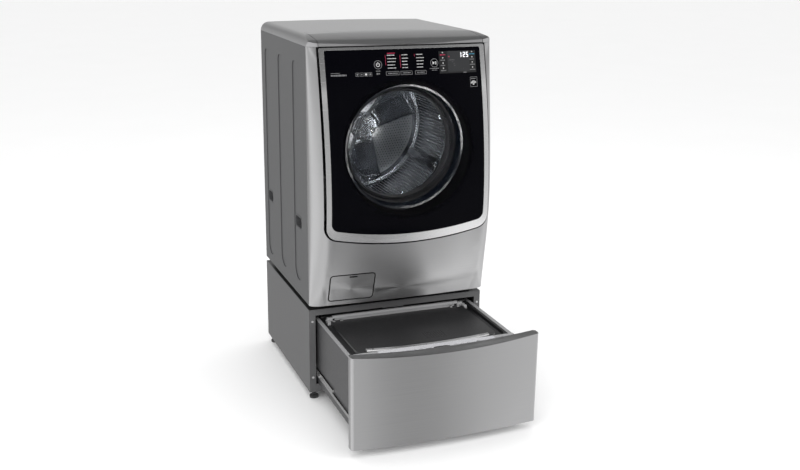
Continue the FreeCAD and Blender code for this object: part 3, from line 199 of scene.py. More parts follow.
def enamel(name, colour, roughness, metallic=0.0, edge=0.001, peel=0.00005):
    """Sprayed paint: faint orange peel under a thin clear coat, tiny flakes of tone."""
    s = Shader(name, colour, roughness, metallic, Coat_Weight=0.25, Coat_Roughness=0.12)
    peel_noise = s.noise((260, 260, 260), 2.0)
    drift = s.noise((2.2, 2.2, 2.2), 3.0)
    flake = s.noise((2600, 2600, 2600), 1.0)
    base = s.mix(s.remap(drift, 0.3, 0.7), tint(colour, 0.965), tint(colour, 1.035))
    s.set("Base Color", s.mix(s.remap(flake, 0.35, 0.75, 0.0, 0.35), base, tint(colour, 1.12)))
    s.set("Roughness", s.remap(peel_noise, 0.3, 0.7, roughness - 0.03, roughness + 0.05))
    s.bump(peel_noise, peel, 0.6, edge)
    return s.material


def drawer_enamel(name, colour, flange_painted_light):
    """Sprayed paint; the folded flange around the top is coloured lighter, painted light where the same sheet
    faces up.
    """
    s = Shader.of(enamel(name, colour, 0.42))
    _, _, z = s.axes()
    # painted light: above DRAWER_FLANGE_Z the sheet is coloured lighter where it faces up
    s.recolour(s.math("GREATER_THAN", z, DRAWER_FLANGE_Z), flange_painted_light)
    return s.material


def pedestal_enamel(name, colour):
    """Sprayed paint outside; the faces inside the pedestal are coloured near-black, painted shade of the dark
    inside.
    """
    s = Shader.of(enamel(name, colour, 0.42))
    x, y, _ = s.axes()
    between_sides = s.math("LESS_THAN", s.math("ABSOLUTE", x), PEDESTAL_INNER_X)
    behind_front = s.math("GREATER_THAN", y, PEDESTAL_INNER_Y[0])
    before_back = s.math("LESS_THAN", y, PEDESTAL_INNER_Y[1])
    painted_shade_inside = s.math("MULTIPLY", s.math("MULTIPLY", between_sides, behind_front), before_back)
    # painted shade: faces inside the pedestal are coloured near-black where shade falls
    s.recolour(painted_shade_inside, (0.012, 0.012, 0.012))
    return s.material


def cover_steel(name, colour):
    """Brushed steel that darkens at the edge of the filter cover, where its gap lies in shadow."""
    s = Shader.of(brushed(name, colour, 0.42, grain=(5, 5, 700), anisotropy=0.9))
    x, _, z = s.axes()
    squares = []
    for value, start, end in ((x, cover_low.x, cover_high.x), (z, cover_low.z, cover_high.z)):
        from_middle = s.math("ABSOLUTE", s.math("SUBTRACT", value, (start + end) / 2))
        past = s.math("MAXIMUM", s.math("SUBTRACT", from_middle, (end - start) / 2 - COVER_CORNER), 0.0)
        squares.append(s.math("POWER", past, 2.0))
    reach = s.math("SQRT", s.math("ADD", *squares))
    s.recolour(s.math("GREATER_THAN", reach, COVER_CORNER - COVER_SEAM), (0.03, 0.03, 0.03))
    return s.material


def moulded(name, colour, roughness, grain=900, depth=0.00006, edge=0.0008, **sockets):
    """Moulded plastic with a spark-eroded grain."""
    s = Shader(name, colour, roughness, 0.0, **sockets)
    pits = s.noise((grain, grain, grain), 3.0, 0.6)
    drift = s.noise((9, 9, 9), 2.0)
    s.set("Base Color", s.mix(s.remap(drift, 0.3, 0.7), tint(colour, 0.93), tint(colour, 1.07)))
    s.set("Roughness", s.remap(pits, 0.3, 0.7, roughness - 0.06, roughness + 0.08))
    s.bump(pits, depth, 0.6, edge)
    return s.material


def rubber(name, colour):
    """Matt rubber with a grey bloom."""
    s = Shader(name, colour, 0.6, 0.0, Sheen_Weight=0.15)
    speck = s.noise((1400, 1400, 1400), 2.0)
    bloom = s.noise((14, 14, 14), 4.0)
    s.set("Base Color", s.mix(s.remap(bloom, 0.4, 0.75), tint(colour, 0.9), tint(colour, 1.35)))
    s.set("Roughness", s.remap(bloom, 0.3, 0.7, 0.5, 0.72))
    s.bump(speck, 0.00008, 0.5, 0.001)
    return s.material


def galvanised(name, colour):
    """Zinc sheet with its crystal spangle."""
    s = Shader(name, colour, 0.42, 0.85)
    spangle = s.node("ShaderNodeTexVoronoi")
    s.link(s.scaled((55, 55, 55)), spangle.inputs["Vector"])
    cell = s.node("ShaderNodeSeparateColor")
    s.link(spangle.outputs["Color"], cell.inputs[0])
    s.set("Base Color", s.mix(cell.outputs[0], tint(colour, 0.86), tint(colour, 1.1)))
    s.set("Roughness", s.remap(cell.outputs[1], 0.0, 1.0, 0.34, 0.5))
    s.bump(s.noise((400, 400, 400)), 0.00003, 0.4, 0.001)
    return s.material


def cast(name, colour):
    """Rough cast weight."""
    s = Shader(name, colour, 0.8, 0.1)
    lumps = s.noise((180, 180, 180), 5.0, 0.65)
    s.set("Base Color", s.mix(s.remap(lumps, 0.3, 0.7), tint(colour, 0.7), tint(colour, 1.3)))
    s.bump(lumps, 0.0006, 0.6, 0.002)
    return s.material


def chrome(name):
    """Bright plating with faint smears."""
    s = Shader(name, (0.82, 0.82, 0.83), 0.08, 1.0)
    smear = s.noise((40, 8, 40), 3.0)
    s.set("Roughness", s.remap(smear, 0.3, 0.7, 0.06, 0.16))
    s.set("Base Color", s.mix(s.remap(smear, 0.3, 0.7), (0.76, 0.76, 0.77), (0.88, 0.88, 0.88)))
    s.bump(smear, 0.00002, 0.3, 0.0006)
    return s.material


def door_glass_material(name):
    """Black printed glass with a lightly smoked round window; the print fades out at the window's edge."""
    s = Shader(name, (0.004, 0.004, 0.005), 0.03, 0.0, IOR=1.5, Specular_IOR_Level=0.05)
    x, _, z = s.axes()
    dz = s.math("SUBTRACT", z, DOOR_Z)
    radius = s.math("SQRT", s.math("ADD", s.math("MULTIPLY", x, x), s.math("MULTIPLY", dz, dz)))
    s.set("Alpha", s.remap(radius, RING_R, RING_R + WINDOW_FADE, 0.10, 0.985, smooth=True))
    smear = s.noise((12, 12, 12), 5.0, 0.6)
    s.set("Roughness", s.remap(smear, 0.35, 0.75, 0.02, 0.06))
    s.set("Base Color", s.mix(smear, (0.001, 0.001, 0.002), (0.002, 0.002, 0.003)))
    s.material.surface_render_method = "BLENDED"
    return s.material


def bowl_glass_material(name):
    """Thick pressed glass: clear when seen square on, mirror-like towards its edges."""
    s = Shader(name, (0.80, 0.86, 0.95), 0.03, 1.0)
    ripple = s.noise((16, 16, 16), 2.0)
    facing = s.node("ShaderNodeLayerWeight")
    facing.inputs["Blend"].default_value = 0.30
    edge_on = s.math("POWER", facing.outputs["Facing"], 3.0)
    s.set("Alpha", s.math("ADD", s.math("MULTIPLY", edge_on, 0.85), s.remap(ripple, 0.3, 0.7, 0.004, 0.014)))
    s.set("Roughness", s.remap(ripple, 0.3, 0.7, 0.02, 0.06))
    s.bump(ripple, 0.0005, 0.4)
    s.material.surface_render_method = "BLENDED"
    return s.material


def polished(name, colour, roughness):
    """Smooth drawn sheet with faint forming marks."""
    s = Shader(name, colour, roughness, 1.0)
    marks = s.noise((30, 90, 30), 3.0, 0.5)
    s.set("Base Color", s.mix(s.remap(marks, 0.3, 0.7), tint(colour, 0.92), tint(colour, 1.05)))
    s.set("Roughness", s.remap(marks, 0.3, 0.7, roughness - 0.04, roughness + 0.06))
    s.bump(marks, 0.00001, 0.3)
    return s.material


def printed(name, colour, glow=0.0):
    """Screen-printed ink, or a lit segment when it glows."""
    s = Shader(name, colour, 0.35, 0.0)
    grain = s.noise((2500, 2500, 2500), 2.0)
    ink = s.mix(s.remap(grain, 0.3, 0.7), tint(colour, 0.8), tint(colour, 1.1))
    s.set("Base Color", ink)
    if glow:
        s.set("Emission Color", ink)
        s.put("Emission Strength", glow)
    return s.material


SILVER = (0.60, 0.60, 0.605)
GREY = (0.070, 0.071, 0.073)
MATERIALS = {
    "side_paint": enamel("side_paint", GREY, 0.42),
    # the second colour is painted light on the drawer's top flange
    "drawer_paint": drawer_enamel("drawer_paint", (0.046, 0.046, 0.048), (0.26, 0.26, 0.265)),
    "front_steel": brushed("front_steel", SILVER, 0.42, grain=(5, 5, 700), anisotropy=0.9),
    "cover_steel": cover_steel("cover_steel", SILVER),
    "top_enamel": enamel("top_enamel", (0.42, 0.42, 0.425), 0.34, metallic=0.9),
    "drawer_steel": brushed("drawer_steel", (0.56, 0.56, 0.565), 0.34, grain=(4, 4, 650)),
    "pedestal_paint": pedestal_enamel("pedestal_paint", (0.094, 0.094, 0.096)),
    "door_steel": brushed("door_steel", (0.93, 0.93, 0.935), 0.22, grain=(5, 5, 700), wear=0.03),
    "trim_enamel": enamel("trim_enamel", (0.40, 0.40, 0.405), 0.30),
    "zinc": galvanised("zinc", (0.52, 0.53, 0.54)),
    "black_plastic": moulded("black_plastic", (0.012, 0.012, 0.013), 0.45),
    "ring_plastic": moulded("ring_plastic", (0.004, 0.006, 0.010), 0.08, grain=60, depth=0.00001,
                            Specular_IOR_Level=0.35),
    "grey_plastic": moulded("grey_plastic", (0.30, 0.30, 0.305), 0.42),
    "white_plastic": moulded("white_plastic", (0.72, 0.72, 0.70), 0.38),
    "lid_plastic": moulded("lid_plastic", (0.018, 0.018, 0.019), 0.34, grain=300, depth=0.00002),
    "strip_plastic": moulded("strip_plastic", (0.50, 0.50, 0.52), 0.25, grain=500, depth=0.00002,
                             Coat_Weight=0.3),
    "chrome": chrome("chrome"),
    "steel": brushed("steel", (0.62, 0.62, 0.62), 0.24, grain=(400, 8, 400), wear=0.05),
    "drum_steel": polished("drum_steel", (0.16, 0.17, 0.185), 0.20),
    "drum_grained": polished("drum_grained", (0.42, 0.435, 0.45), 0.38),
    # lighter copy of the drum steel: painted highlight on the steep flanks of the drum's back
    "drum_flank_highlight": polished("drum_flank_highlight", (0.92, 0.94, 0.96), 0.22),
    "rubber": rubber("rubber", (0.020, 0.020, 0.021)),
    "gasket_rubber": rubber("gasket_rubber", (0.012, 0.012, 0.013)),
    "cast": cast("cast", (0.10, 0.10, 0.10)),
    "black_glass": door_glass_material("black_glass"),
    "clear_glass": bowl_glass_material("clear_glass"),
}
INK_AND_SHADE = {
    "white": printed("ink_white", (0.50, 0.50, 0.50), glow=0.15),
    "dim": printed("ink_dim", (0.16, 0.16, 0.165), glow=0.1),
    "panel": printed("ink_panel", (0.009, 0.009, 0.010)),
    "window": printed("ink_window", (0.024, 0.025, 0.027)),
    "red": printed("ink_red", (0.36, 0.02, 0.06), glow=0.35),
    "blue": printed("ink_blue", (0.03, 0.16, 0.24), glow=0.5),
    "digits": printed("lit_digits", (0.80, 0.81, 0.84), glow=0.8),
    "black": printed("black_ink_and_hole_shade", (0.012, 0.012, 0.013)),
    "grey": printed("ink_grey", (0.22, 0.22, 0.23)),
}

# Every node takes the material of its slot in the record, except these.
NODE_LOOK = {"drum": "drum_steel", "mini_drum": "drum_steel", "drum_lifters": "drum_steel",
             "door_ring": "ring_plastic", "door_frame": "door_steel", "drawer_box": "drawer_paint",
             "drawer_rear_trim": "trim_enamel", "filter_cover": "cover_steel"}
for entry in frame["record"]["subparts"]:
    look = NODE_LOOK.get(entry["node"], entry["material_slot"])
    node = NODES[entry["node"]]
    if not node.material_slots:
        node.data.materials.append(MATERIALS[look])
    for held in node.material_slots:
        held.material = MATERIALS[look]


# ---- mesh helpers ----
def make(name, verts, faces, material, body, slot, smooth=False):
    """New piece from a vertex and face list, which rides on a body; its slot argument is not used."""
    mesh = bpy.data.meshes.new(name)
    mesh.from_pydata([tuple(v) for v in verts], [], [tuple(f) for f in faces])
    cleaner = bmesh.new()
    cleaner.from_mesh(mesh)
    bmesh.ops.recalc_face_normals(cleaner, faces=cleaner.faces)
    cleaner.to_mesh(mesh)
    cleaner.free()
    mesh.materials.append(material)
    if smooth:
        mesh.shade_smooth()
    piece = bpy.data.objects.new(name, mesh)
    bpy.context.scene.collection.objects.link(piece)
    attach(piece, body)
    return piece


class Surface:
    """Height of a CAD node's outer face along one direction, for printing on it."""

    def __init__(self, node, direction):
        data = NODES[node].data
        data.calc_loop_triangles()
        self.tree = BVHTree.FromPolygons([v.co for v in data.vertices],
                                         [t.vertices for t in data.loop_triangles])
        self.direction = Vector(direction)

    def at(self, u, v, lift):
        """Front: (u, v) is (x, z). Top: (u, v) is (x, y). Returns the point lift above the face."""
        ahead, above = -2.0, 3.0
        if abs(self.direction.y) > 0.5:
            start = Vector((u, ahead, v))
        else:
            start = Vector((u, v, above))
        hit = self.tree.ray_cast(start, self.direction)[0]
        return hit - self.direction * lift


class Print:
    """Collects flat marks and writes them as one piece of thin closed plates lying on a surface."""

    def __init__(self, surface, thickness=0.00025, base=0.00005):
        self.surface = surface
        self.lift = (base, base + thickness)
        self.verts = []
        self.faces = []

    def outline(self, points):
        start, count = len(self.verts), len(points)
        for lift in self.lift:
            self.verts += [self.surface.at(u, v, lift) for u, v in points]
        self.faces.append([start + i for i in range(count)][::-1])
        self.faces.append([start + count + i for i in range(count)])
        for i in range(count):
            j = (i + 1) % count
            self.faces.append([start + i, start + j, start + count + j, start + count + i])

    def bar(self, u0, u1, v0, v1, longest=0.02):
        """Straight bar, cut into short lengths that follow the curve of the face."""
        steps = max(1, int(abs(u1 - u0) / longest))
        for k in range(steps):
            a = u0 + (u1 - u0) * k / steps
            b = u0 + (u1 - u0) * (k + 1) / steps
            self.outline([(a, v0), (b, v0), (b, v1), (a, v1)])

    def panel(self, u0, u1, v0, v1, steps=8):
        """Larger patch, as one grid so that it follows the curve of the face."""
        start = len(self.verts)
        n = steps + 1
        for lift in self.lift:
            for i in range(n):
                for j in range(n):
                    u, v = u0 + (u1 - u0) * i / steps, v0 + (v1 - v0) * j / steps
                    self.verts.append(self.surface.at(u, v, lift))

        def at(layer, i, j):
            return start + layer * n * n + i * n + j

        for i in range(steps):
            for j in range(steps):
                for layer in (0, 1):
                    self.faces.append([at(layer, i, j), at(layer, i + 1, j), at(layer, i + 1, j + 1),
                                       at(layer, i, j + 1)])
        rim = [(i, 0) for i in range(steps)] + [(steps, j) for j in range(steps)]
        rim += [(i, steps) for i in range(steps, 0, -1)] + [(0, j) for j in range(steps, 0, -1)]
        for k, (i, j) in enumerate(rim):
            p, q = rim[(k + 1) % len(rim)]
            self.faces.append([at(0, i, j), at(0, p, q), at(1, p, q), at(1, i, j)])

    def ring(self, u, v, outer, inner, start=0.0, sweep=360.0, steps=28):
        for k in range(steps):
            a, b = [math.radians(start + sweep * part / steps) for part in (k, k + 1)]
            self.outline([(u + outer * math.cos(a), v + outer * math.sin(a)),
                          (u + outer * math.cos(b), v + outer * math.sin(b)),
                          (u + inner * math.cos(b), v + inner * math.sin(b)),
                          (u + inner * math.cos(a), v + inner * math.sin(a))])

    def disc(self, u, v, radius, steps=16):
        angles = [2 * math.pi * k / steps for k in range(steps)]
        self.outline([(u + radius * math.cos(a), v + radius * math.sin(a)) for a in angles])

    def frame(self, u0, u1, v0, v1, width):
        self.bar(u0, u1, v0, v0 + width)
        self.bar(u0, u1, v1 - width, v1)
        self.bar(u0, u0 + width, v0 + width, v1 - width)
        self.bar(u1 - width, u1, v0 + width, v1 - width)

    def dashes(self, u0, u1, v, height):
        """A row of short marks that reads as a printed caption without being one."""
        u = u0
        smallest = 0.002
        while u < u1 - smallest:
            width = min(rng.uniform(0.0018, 0.0046), u1 - u)
            rise = height * rng.uniform(0.75, 1.0)
            self.bar(u, u + width, v - rise / 2, v + rise / 2)
            u += width + rng.uniform(0.0009, 0.0018)

    def write(self, name, material, body, slot):
        return make(name, self.verts, self.faces, material, body, slot)


# ---- controls printed in the door glass ----
# Every place here is (x, z) on the front of the glass.
glass = Surface("door_glass", (0, 1, 0))
white, dim, red, blue = [Print(glass) for _ in range(4)]
backdrop = Print(glass, thickness=0.00010, base=0.00002)
display = Print(glass, thickness=0.00015, base=0.00016)
digits = Print(glass, thickness=0.00018, base=0.00032)

PROGRAMME_ROWS = (1.300, 1.2885, 1.278, 1.267, 1.2565)
PROGRAMME_COLUMNS = ((-0.067, -0.030, 0.034), (-0.012, 0.020, 0.044), (0.043, 0.074, 0.008))
LABEL_Z, LABEL_HALF = 1.2385, 0.0065
KEY_Z, KEY_R = 1.269, 0.0150
POWER_X, START_X = -0.103, 0.111


def programme_column(left, right, red_length):
    """Captions under one another, a framed label below them and a thin red line at their left."""
    for row in PROGRAMME_ROWS:
        white.dashes(left, left + (right - left) * rng.uniform(0.62, 0.95), row, 0.0028)
    dim.frame(left - 0.008, right + 0.004, LABEL_Z - LABEL_HALF, LABEL_Z + LABEL_HALF, 0.0012)
    dim.dashes(left, right - 0.002, LABEL_Z, 0.004)
    red_top = PROGRAMME_ROWS[0] + 0.001
    red.bar(left - 0.0073, left - 0.0064, red_top - red_length, red_top)


def power_key(x):
    """Ring with the common power sign: a broken circle and a short bar."""
    dim.ring(x, KEY_Z, KEY_R, KEY_R - 0.0015)
    white.ring(x, KEY_Z, 0.0072, 0.0052, 120, 300, 20)
    white.bar(x - 0.001, x + 0.001, KEY_Z, KEY_Z + 0.0095)


def start_key(x):
    """Ring with the common start and pause sign: a triangle and two bars."""
    dim.ring(x, KEY_Z, KEY_R, KEY_R - 0.0015)
    white.outline([(x - 0.0065, KEY_Z - 0.0060), (x + 0.0005, KEY_Z), (x - 0.0065, KEY_Z + 0.0060)])
    for offset in (0.0025, 0.0060):
        white.bar(x + offset, x + offset + 0.0017, KEY_Z - 0.0055, KEY_Z + 0.0055)


for column in PROGRAMME_COLUMNS:
    programme_column(*column)
red.bar(-0.066, -0.037, 1.3060, 1.3078)
power_key(POWER_X)
start_key(START_X)

# left, right, z and height of the captions round the keys and at the left
CAPTIONS = ((-0.112, -0.096, 1.2475, 0.003), (-0.110, -0.097, 1.2385, 0.006), (0.092, 0.128, 1.2500, 0.0032),
            (0.100, 0.120, 1.2440, 0.0022), (-0.276, -0.219, 1.2370, 0.0065))
for caption in CAPTIONS:
    dim.dashes(*caption)
dim.bar(-0.276, -0.244, 1.2440, 1.2452)

ICON_LEFT, ICON_PITCH, ICON_WIDTH = -0.187, 0.0158, 0.0125
ICON_LOW, ICON_MIDDLE, ICON_HIGH = 1.2315, 1.2378, 1.2440
for k, (ink, radius) in enumerate(((dim, 0.003), (dim, 0.0024), (white, 0.0036), (dim, 0.003))):
    left = ICON_LEFT + ICON_PITCH * k
    dim.frame(left, left + ICON_WIDTH, ICON_LOW, ICON_HIGH, 0.0009)
    ink.disc(left + ICON_WIDTH / 2, ICON_MIDDLE, radius)

# display with a column of touch keys on each side, lists of small captions and a clock
backdrop.panel(0.130, 0.276, 1.231, 1.308)
display.panel(0.164, 0.251, 1.2360, 1.3080)
LEFT_KEYS, RIGHT_KEYS = 0.1455, 0.2620
KEY_ROWS = (1.300, 1.2815, 1.2635, 1.2455)
for x in (LEFT_KEYS, RIGHT_KEYS):
    for k, z in enumerate(KEY_ROWS):
        white.disc(x, z + 0.0035, 0.0021, 12)
        ink = {(LEFT_KEYS, 0): red, (RIGHT_KEYS, 0): blue}.get((x, k), dim)
        ink.dashes(x - 0.010, x + 0.010, z - 0.0045, 0.0036)
red.dashes(0.166, 0.184, 1.2890, 0.0042)
dim.bar(0.2095, 0.2105, 1.286, 1.3035)
LIST_TOP, LIST_PITCH, LIST_LINES = 1.277, 0.0066, 6
for k in range(LIST_LINES):
    for left, right in ((0.167, 0.195), (0.214, 0.232)):
        dim.dashes(left, right, LIST_TOP - LIST_PITCH * k, 0.0018)
dim.dashes(0.224, 0.238, 1.2325, 0.003)

SEGMENTS = {"1": "bc", "2": "abged", "5": "afgcd"}
DIGIT_WIDTH, DIGIT_HEIGHT, STROKE = 0.0082, 0.0175, 0.0022
DIGIT_Z = 1.2855


def digit(left, mark):
    """Seven-segment digit, from its lower left corner."""
    wide, tall, half = DIGIT_WIDTH, DIGIT_HEIGHT, DIGIT_HEIGHT / 2
    bars = {"a": (0, wide, tall - STROKE, tall), "g": (0, wide, half - STROKE / 2, half + STROKE / 2),
            "d": (0, wide, 0, STROKE), "f": (0, STROKE, half, tall), "e": (0, STROKE, 0, half),
            "b": (wide - STROKE, wide, half, tall), "c": (wide - STROKE, wide, 0, half)}
    for segment in SEGMENTS[mark]:
        start, end, low, high = bars[segment]
        digits.bar(left + start, left + end, DIGIT_Z + low, DIGIT_Z + high)


for mark, left in (("1", 0.211), ("2", 0.2265), ("5", 0.2385)):
    digit(left, mark)
for dot_z in (1.2905, 1.2985):
    digits.disc(0.2225, dot_z, 0.0012, 10)

# generic tag mark at the right edge, below the display
TAG_X, TAG_Z = 0.262, 1.1900
dim.frame(0.2490, 0.2770, 1.1800, 1.2150, 0.0011)
dim.dashes(0.2525, 0.2735, 1.2090, 0.004)
for outer, inner in ((0.0115, 0.0092), (0.0072, 0.0050)):
    white.ring(TAG_X, TAG_Z, outer, inner, 20, 150, 14)
white.disc(TAG_X, TAG_Z - 0.0005, 0.0026)

for marks, name, ink in ((backdrop, "control_backdrop", "panel"), (display, "display_window", "window"),
                         (white, "control_captions", "white"), (dim, "control_outlines", "dim"),
                         (red, "control_accents_red", "red"), (blue, "control_accents_blue", "blue"),
                         (digits, "display_digits", "digits")):
    marks.write(name, INK_AND_SHADE[ink], "door", "black_glass")


# ---- pierced and turned sheets ----
def cell_grid(columns, rows, hole, place, skip=lambda i, j: False):
    """Sheet of square cells, each with an eight-sided hole. place(s, t) maps sheet to space."""
    verts, faces, shared = [], [], {}
    steps = [(0, 0), (0.5, 0), (1, 0), (1, 0.5), (1, 1), (0.5, 1), (0, 1), (0, 0.5)]

    def corner(i, j, step):
        s, t = i + step[0], j + step[1]
        key = (round(2 * s) % (2 * columns), round(2 * t))
        if key not in shared:
            shared[key] = len(verts)
            verts.append(place(s / columns, t / rows))
        return shared[key]

    for i in range(columns):
        for j in range(rows):
            border = [corner(i, j, step) for step in steps]
            if skip(i, j):
                faces.append(border)
                continue
            start = len(verts)
            for k in range(8):
                angle = math.radians(-135 + 45 * k)
                s = (i + 0.5 + hole * math.cos(angle)) / columns
                t = (j + 0.5 + hole * math.sin(angle)) / rows
                verts.append(place(s, t))
            for k in range(8):
                m = (k + 1) % 8
                faces.append([border[k], border[m], start + m, start + k])
    return verts, faces


def thicken(piece, thickness):
    solid = piece.modifiers.new("thickness", "SOLIDIFY")
    solid.thickness = thickness
    solid.offset = 0.0


def turned_sheet(profile, steps, place):
    """Surface of revolution through (radius, distance) points."""
    verts, faces = [], []
    for k in range(steps):
        angle = 2 * math.pi * k / steps
        verts += [place(r, angle, d) for r, d in profile]
    n = len(profile)
    for k in range(steps):
        m = (k + 1) % steps
        for i in range(n - 1):
            faces.append([k * n + i, m * n + i, m * n + i + 1, k * n + i + 1])
    return verts, faces


def join_meshes(parts):
    verts, faces = [], []
    for part_verts, part_faces in parts:
        base = len(verts)
        verts += part_verts
        faces += [[base + index for index in face] for face in part_faces]
    return verts, faces


# ---- washer drum ----
SHEET = 0.0009
DRUM_R = (drum_high.x - drum_low.x) / 2
DRUM_FRONT, DRUM_BACK = drum_low.y, drum_high.y
WALL_R = DRUM_R - 0.001
WALL_CELLS = 132
WALL_FROM, WALL_LENGTH = 0.022, 0.350
BACK_FROM, BACK_TO = 0.002, 0.245
BACK_GAP = 0.002

HUB_R, HUB_RISE = 0.047, 0.014
ARM_ANGLES, ARM_RISE = (30, 150, 270), 0.020
ARM_ROOT, ARM_SPREAD, ARM_SHOULDER = 0.026, 0.30, 0.010
ARM_END = (0.205, 0.232)
DISH_DEPTH, DISH_RANGE = 0.042, (0.05, 0.235)


def about_y(r, angle, y):
    return (r * math.cos(angle), y, DOOR_Z + r * math.sin(angle))


def ease(value, low, high):
    t = min(1.0, max(0.0, (value - low) / (high - low)))
    return t * t * (3 - 2 * t)


def plain_dish(x, z):
    """How far the drum's back stands forward at (x, z) from its axis, without hub and arms."""
    return DISH_DEPTH * (1 - ease(math.hypot(x, z), *DISH_RANGE))


def dish(x, z):
    """The same with the raised hub and its three arms."""
    raised = 0.0
    for degrees in ARM_ANGLES:
        a = math.radians(degrees)
        along, across = x * math.cos(a) + z * math.sin(a), abs(z * math.cos(a) - x * math.sin(a))
        if along > 0:
            half = ARM_ROOT + ARM_SPREAD * along
            arm = (1 - ease(across, half - ARM_SHOULDER, half)) * (1 - ease(along, *ARM_END))
            raised = max(raised, arm)
    hub = 1 - ease(math.hypot(x, z), HUB_R, HUB_R + 0.008)
    return plain_dish(x, z) + ARM_RISE * raised + HUB_RISE * hub


def between_arms(x, z):
    return dish(x, z) - plain_dish(x, z) < 0.0004


def steepness(x, z, step=0.002):
    across = dish(x + step, z) - dish(x - step, z)
    upward = dish(x, z + step) - dish(x, z - step)
    return math.hypot(across, upward) / (2 * step)


def drum_rear(rings, spokes):
    """The dished back as a fan of rings."""
    verts, faces = [], []
    n = rings + 1
    for k in range(spokes):
        angle = 2 * math.pi * k / spokes
        for i in range(n):
            r = BACK_FROM + (BACK_TO - BACK_FROM) * i / rings
            x, z = r * math.cos(angle), r * math.sin(angle)
            verts.append((x, DRUM_BACK - BACK_GAP - dish(x, z), DOOR_Z + z))
        m = (k + 1) % spokes
        faces += [[k * n + i, m * n + i, m * n + i + 1, k * n + i + 1] for i in range(rings)]
    return verts, faces


wall = cell_grid(WALL_CELLS, 26, 0.22,
                 lambda s, t: about_y(WALL_R, 2 * math.pi * s, DRUM_FRONT + WALL_FROM + t * WALL_LENGTH))
LIP_PROFILE = [(0.210, 0.004), (0.2105, 0.0), (0.214, -0.0005), (0.248, 0.001), (0.256, 0.005),
               (WALL_R - 0.001, 0.012), (WALL_R, WALL_FROM)]
lip = turned_sheet([(r, DRUM_FRONT + 0.0015 + d) for r, d in LIP_PROFILE], WALL_CELLS, about_y)
corner = turned_sheet([(WALL_R, DRUM_FRONT + WALL_FROM + WALL_LENGTH), (WALL_R, DRUM_BACK - 0.008),
                       (WALL_R - 0.006, DRUM_BACK - BACK_GAP), (BACK_TO, DRUM_BACK - BACK_GAP)],
                      WALL_CELLS, about_y)
rear = drum_rear(rings=64, spokes=216)
drum_piece = make("drum_sheet", *join_meshes([wall, rear, lip, corner]), MATERIALS["drum_steel"],
                  "drum_group", "steel", smooth=True)

# the back is grained between the arms; the steep flanks of the arms and hub get a much lighter copy of the
# steel, a painted highlight
GRAINED, PAINTED_HIGHLIGHT = 1, 2
drum_piece.data.materials.append(MATERIALS["drum_grained"])
drum_piece.data.materials.append(MATERIALS["drum_flank_highlight"])
for face in drum_piece.data.polygons:
    x, z = face.center.x, face.center.z - DOOR_Z
    r = math.hypot(x, z)
    if face.center.y < DRUM_BACK - 0.090 or r > 0.230:
        continue
    if between_arms(x, z) and r > HUB_R + 0.009:
        face.material_index = GRAINED
    elif steepness(x, z) > 0.9:
        face.material_index = PAINTED_HIGHLIGHT
thicken(drum_piece, SHEET)
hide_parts("drum")


def back_holes(pitch, hole_r, inner, outer, reach=18):
    """Drain holes in staggered rows, in the valleys between the arms, drawn as black discs: painted shade
    where each hole would show the dark space behind.
    """
    verts, faces = [], []
    for row in range(-reach, reach + 1):
        for column in range(-reach, reach + 1):
            x, z = (column + (row % 2) / 2) * pitch, row * pitch * math.sqrt(0.75)
            if inner < math.hypot(x, z) < outer and between_arms(x, z):
                start = len(verts)
                for k in range(8):
                    a = math.pi * k / 4
                    u, w = x + hole_r * math.cos(a), z + hole_r * math.sin(a)
                    verts.append((u, DRUM_BACK - 0.0030 - dish(u, w), DOOR_Z + w))
                faces.append(list(range(start, start + 8)))
    return verts, faces


# the black discs are painted shade standing in for open drain holes
holes_piece = make("drum_back_holes", *back_holes(0.0125, 0.0022, 0.065, 0.222), INK_AND_SHADE["black"],
                   "drum_group", "steel")
thicken(holes_piece, 0.0003)

# ---- mini drum ----
mini_low, mini_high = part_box("mini_drum")
MINI_Y = (mini_low.y + mini_high.y) / 2
MINI_R = (mini_high.x - mini_low.x) / 2 - 0.001
MINI_CELLS = 84
MINI_FLOOR, MINI_RIM = 0.1095, 0.2855
MINI_FROM, MINI_LENGTH = 0.012, 0.150


def about_z(r, angle, z):
    return (r * math.cos(angle), MINI_Y + r * math.sin(angle), z)


mini_wall = cell_grid(MINI_CELLS, 14, 0.2,
                      lambda s, t: about_z(MINI_R, 2 * math.pi * s, MINI_FLOOR + MINI_FROM + t * MINI_LENGTH))
mini_top = turned_sheet([(MINI_R, MINI_FLOOR + MINI_FROM + MINI_LENGTH), (MINI_R, MINI_RIM - 0.002),
                         (MINI_R - 0.002, MINI_RIM), (MINI_R - 0.0065, MINI_RIM)], MINI_CELLS, about_z)
mini_base = turned_sheet([(0.008, MINI_FLOOR), (0.100, MINI_FLOOR), (MINI_R - 0.006, MINI_FLOOR + 0.001),
                          (MINI_R - 0.001, MINI_FLOOR + 0.005), (MINI_R, MINI_FLOOR + MINI_FROM)],
                         MINI_CELLS, about_z)
mini_piece = make("mini_drum_sheet", *join_meshes([mini_wall, mini_top, mini_base]), MATERIALS["drum_steel"],
                  "mini_drum_group", "steel", smooth=True)
thicken(mini_piece, SHEET)
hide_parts("mini_drum")


# ---- lifters with rounded crests ----
LIFTER_ANGLES = (90, 210, 330)
LIFTER_FROM, LIFTER_LENGTH = 0.034, 0.320
LIFTER_ROOT_R = WALL_R - 0.0028
STATIONS, CREST_SIDES = 18, 12


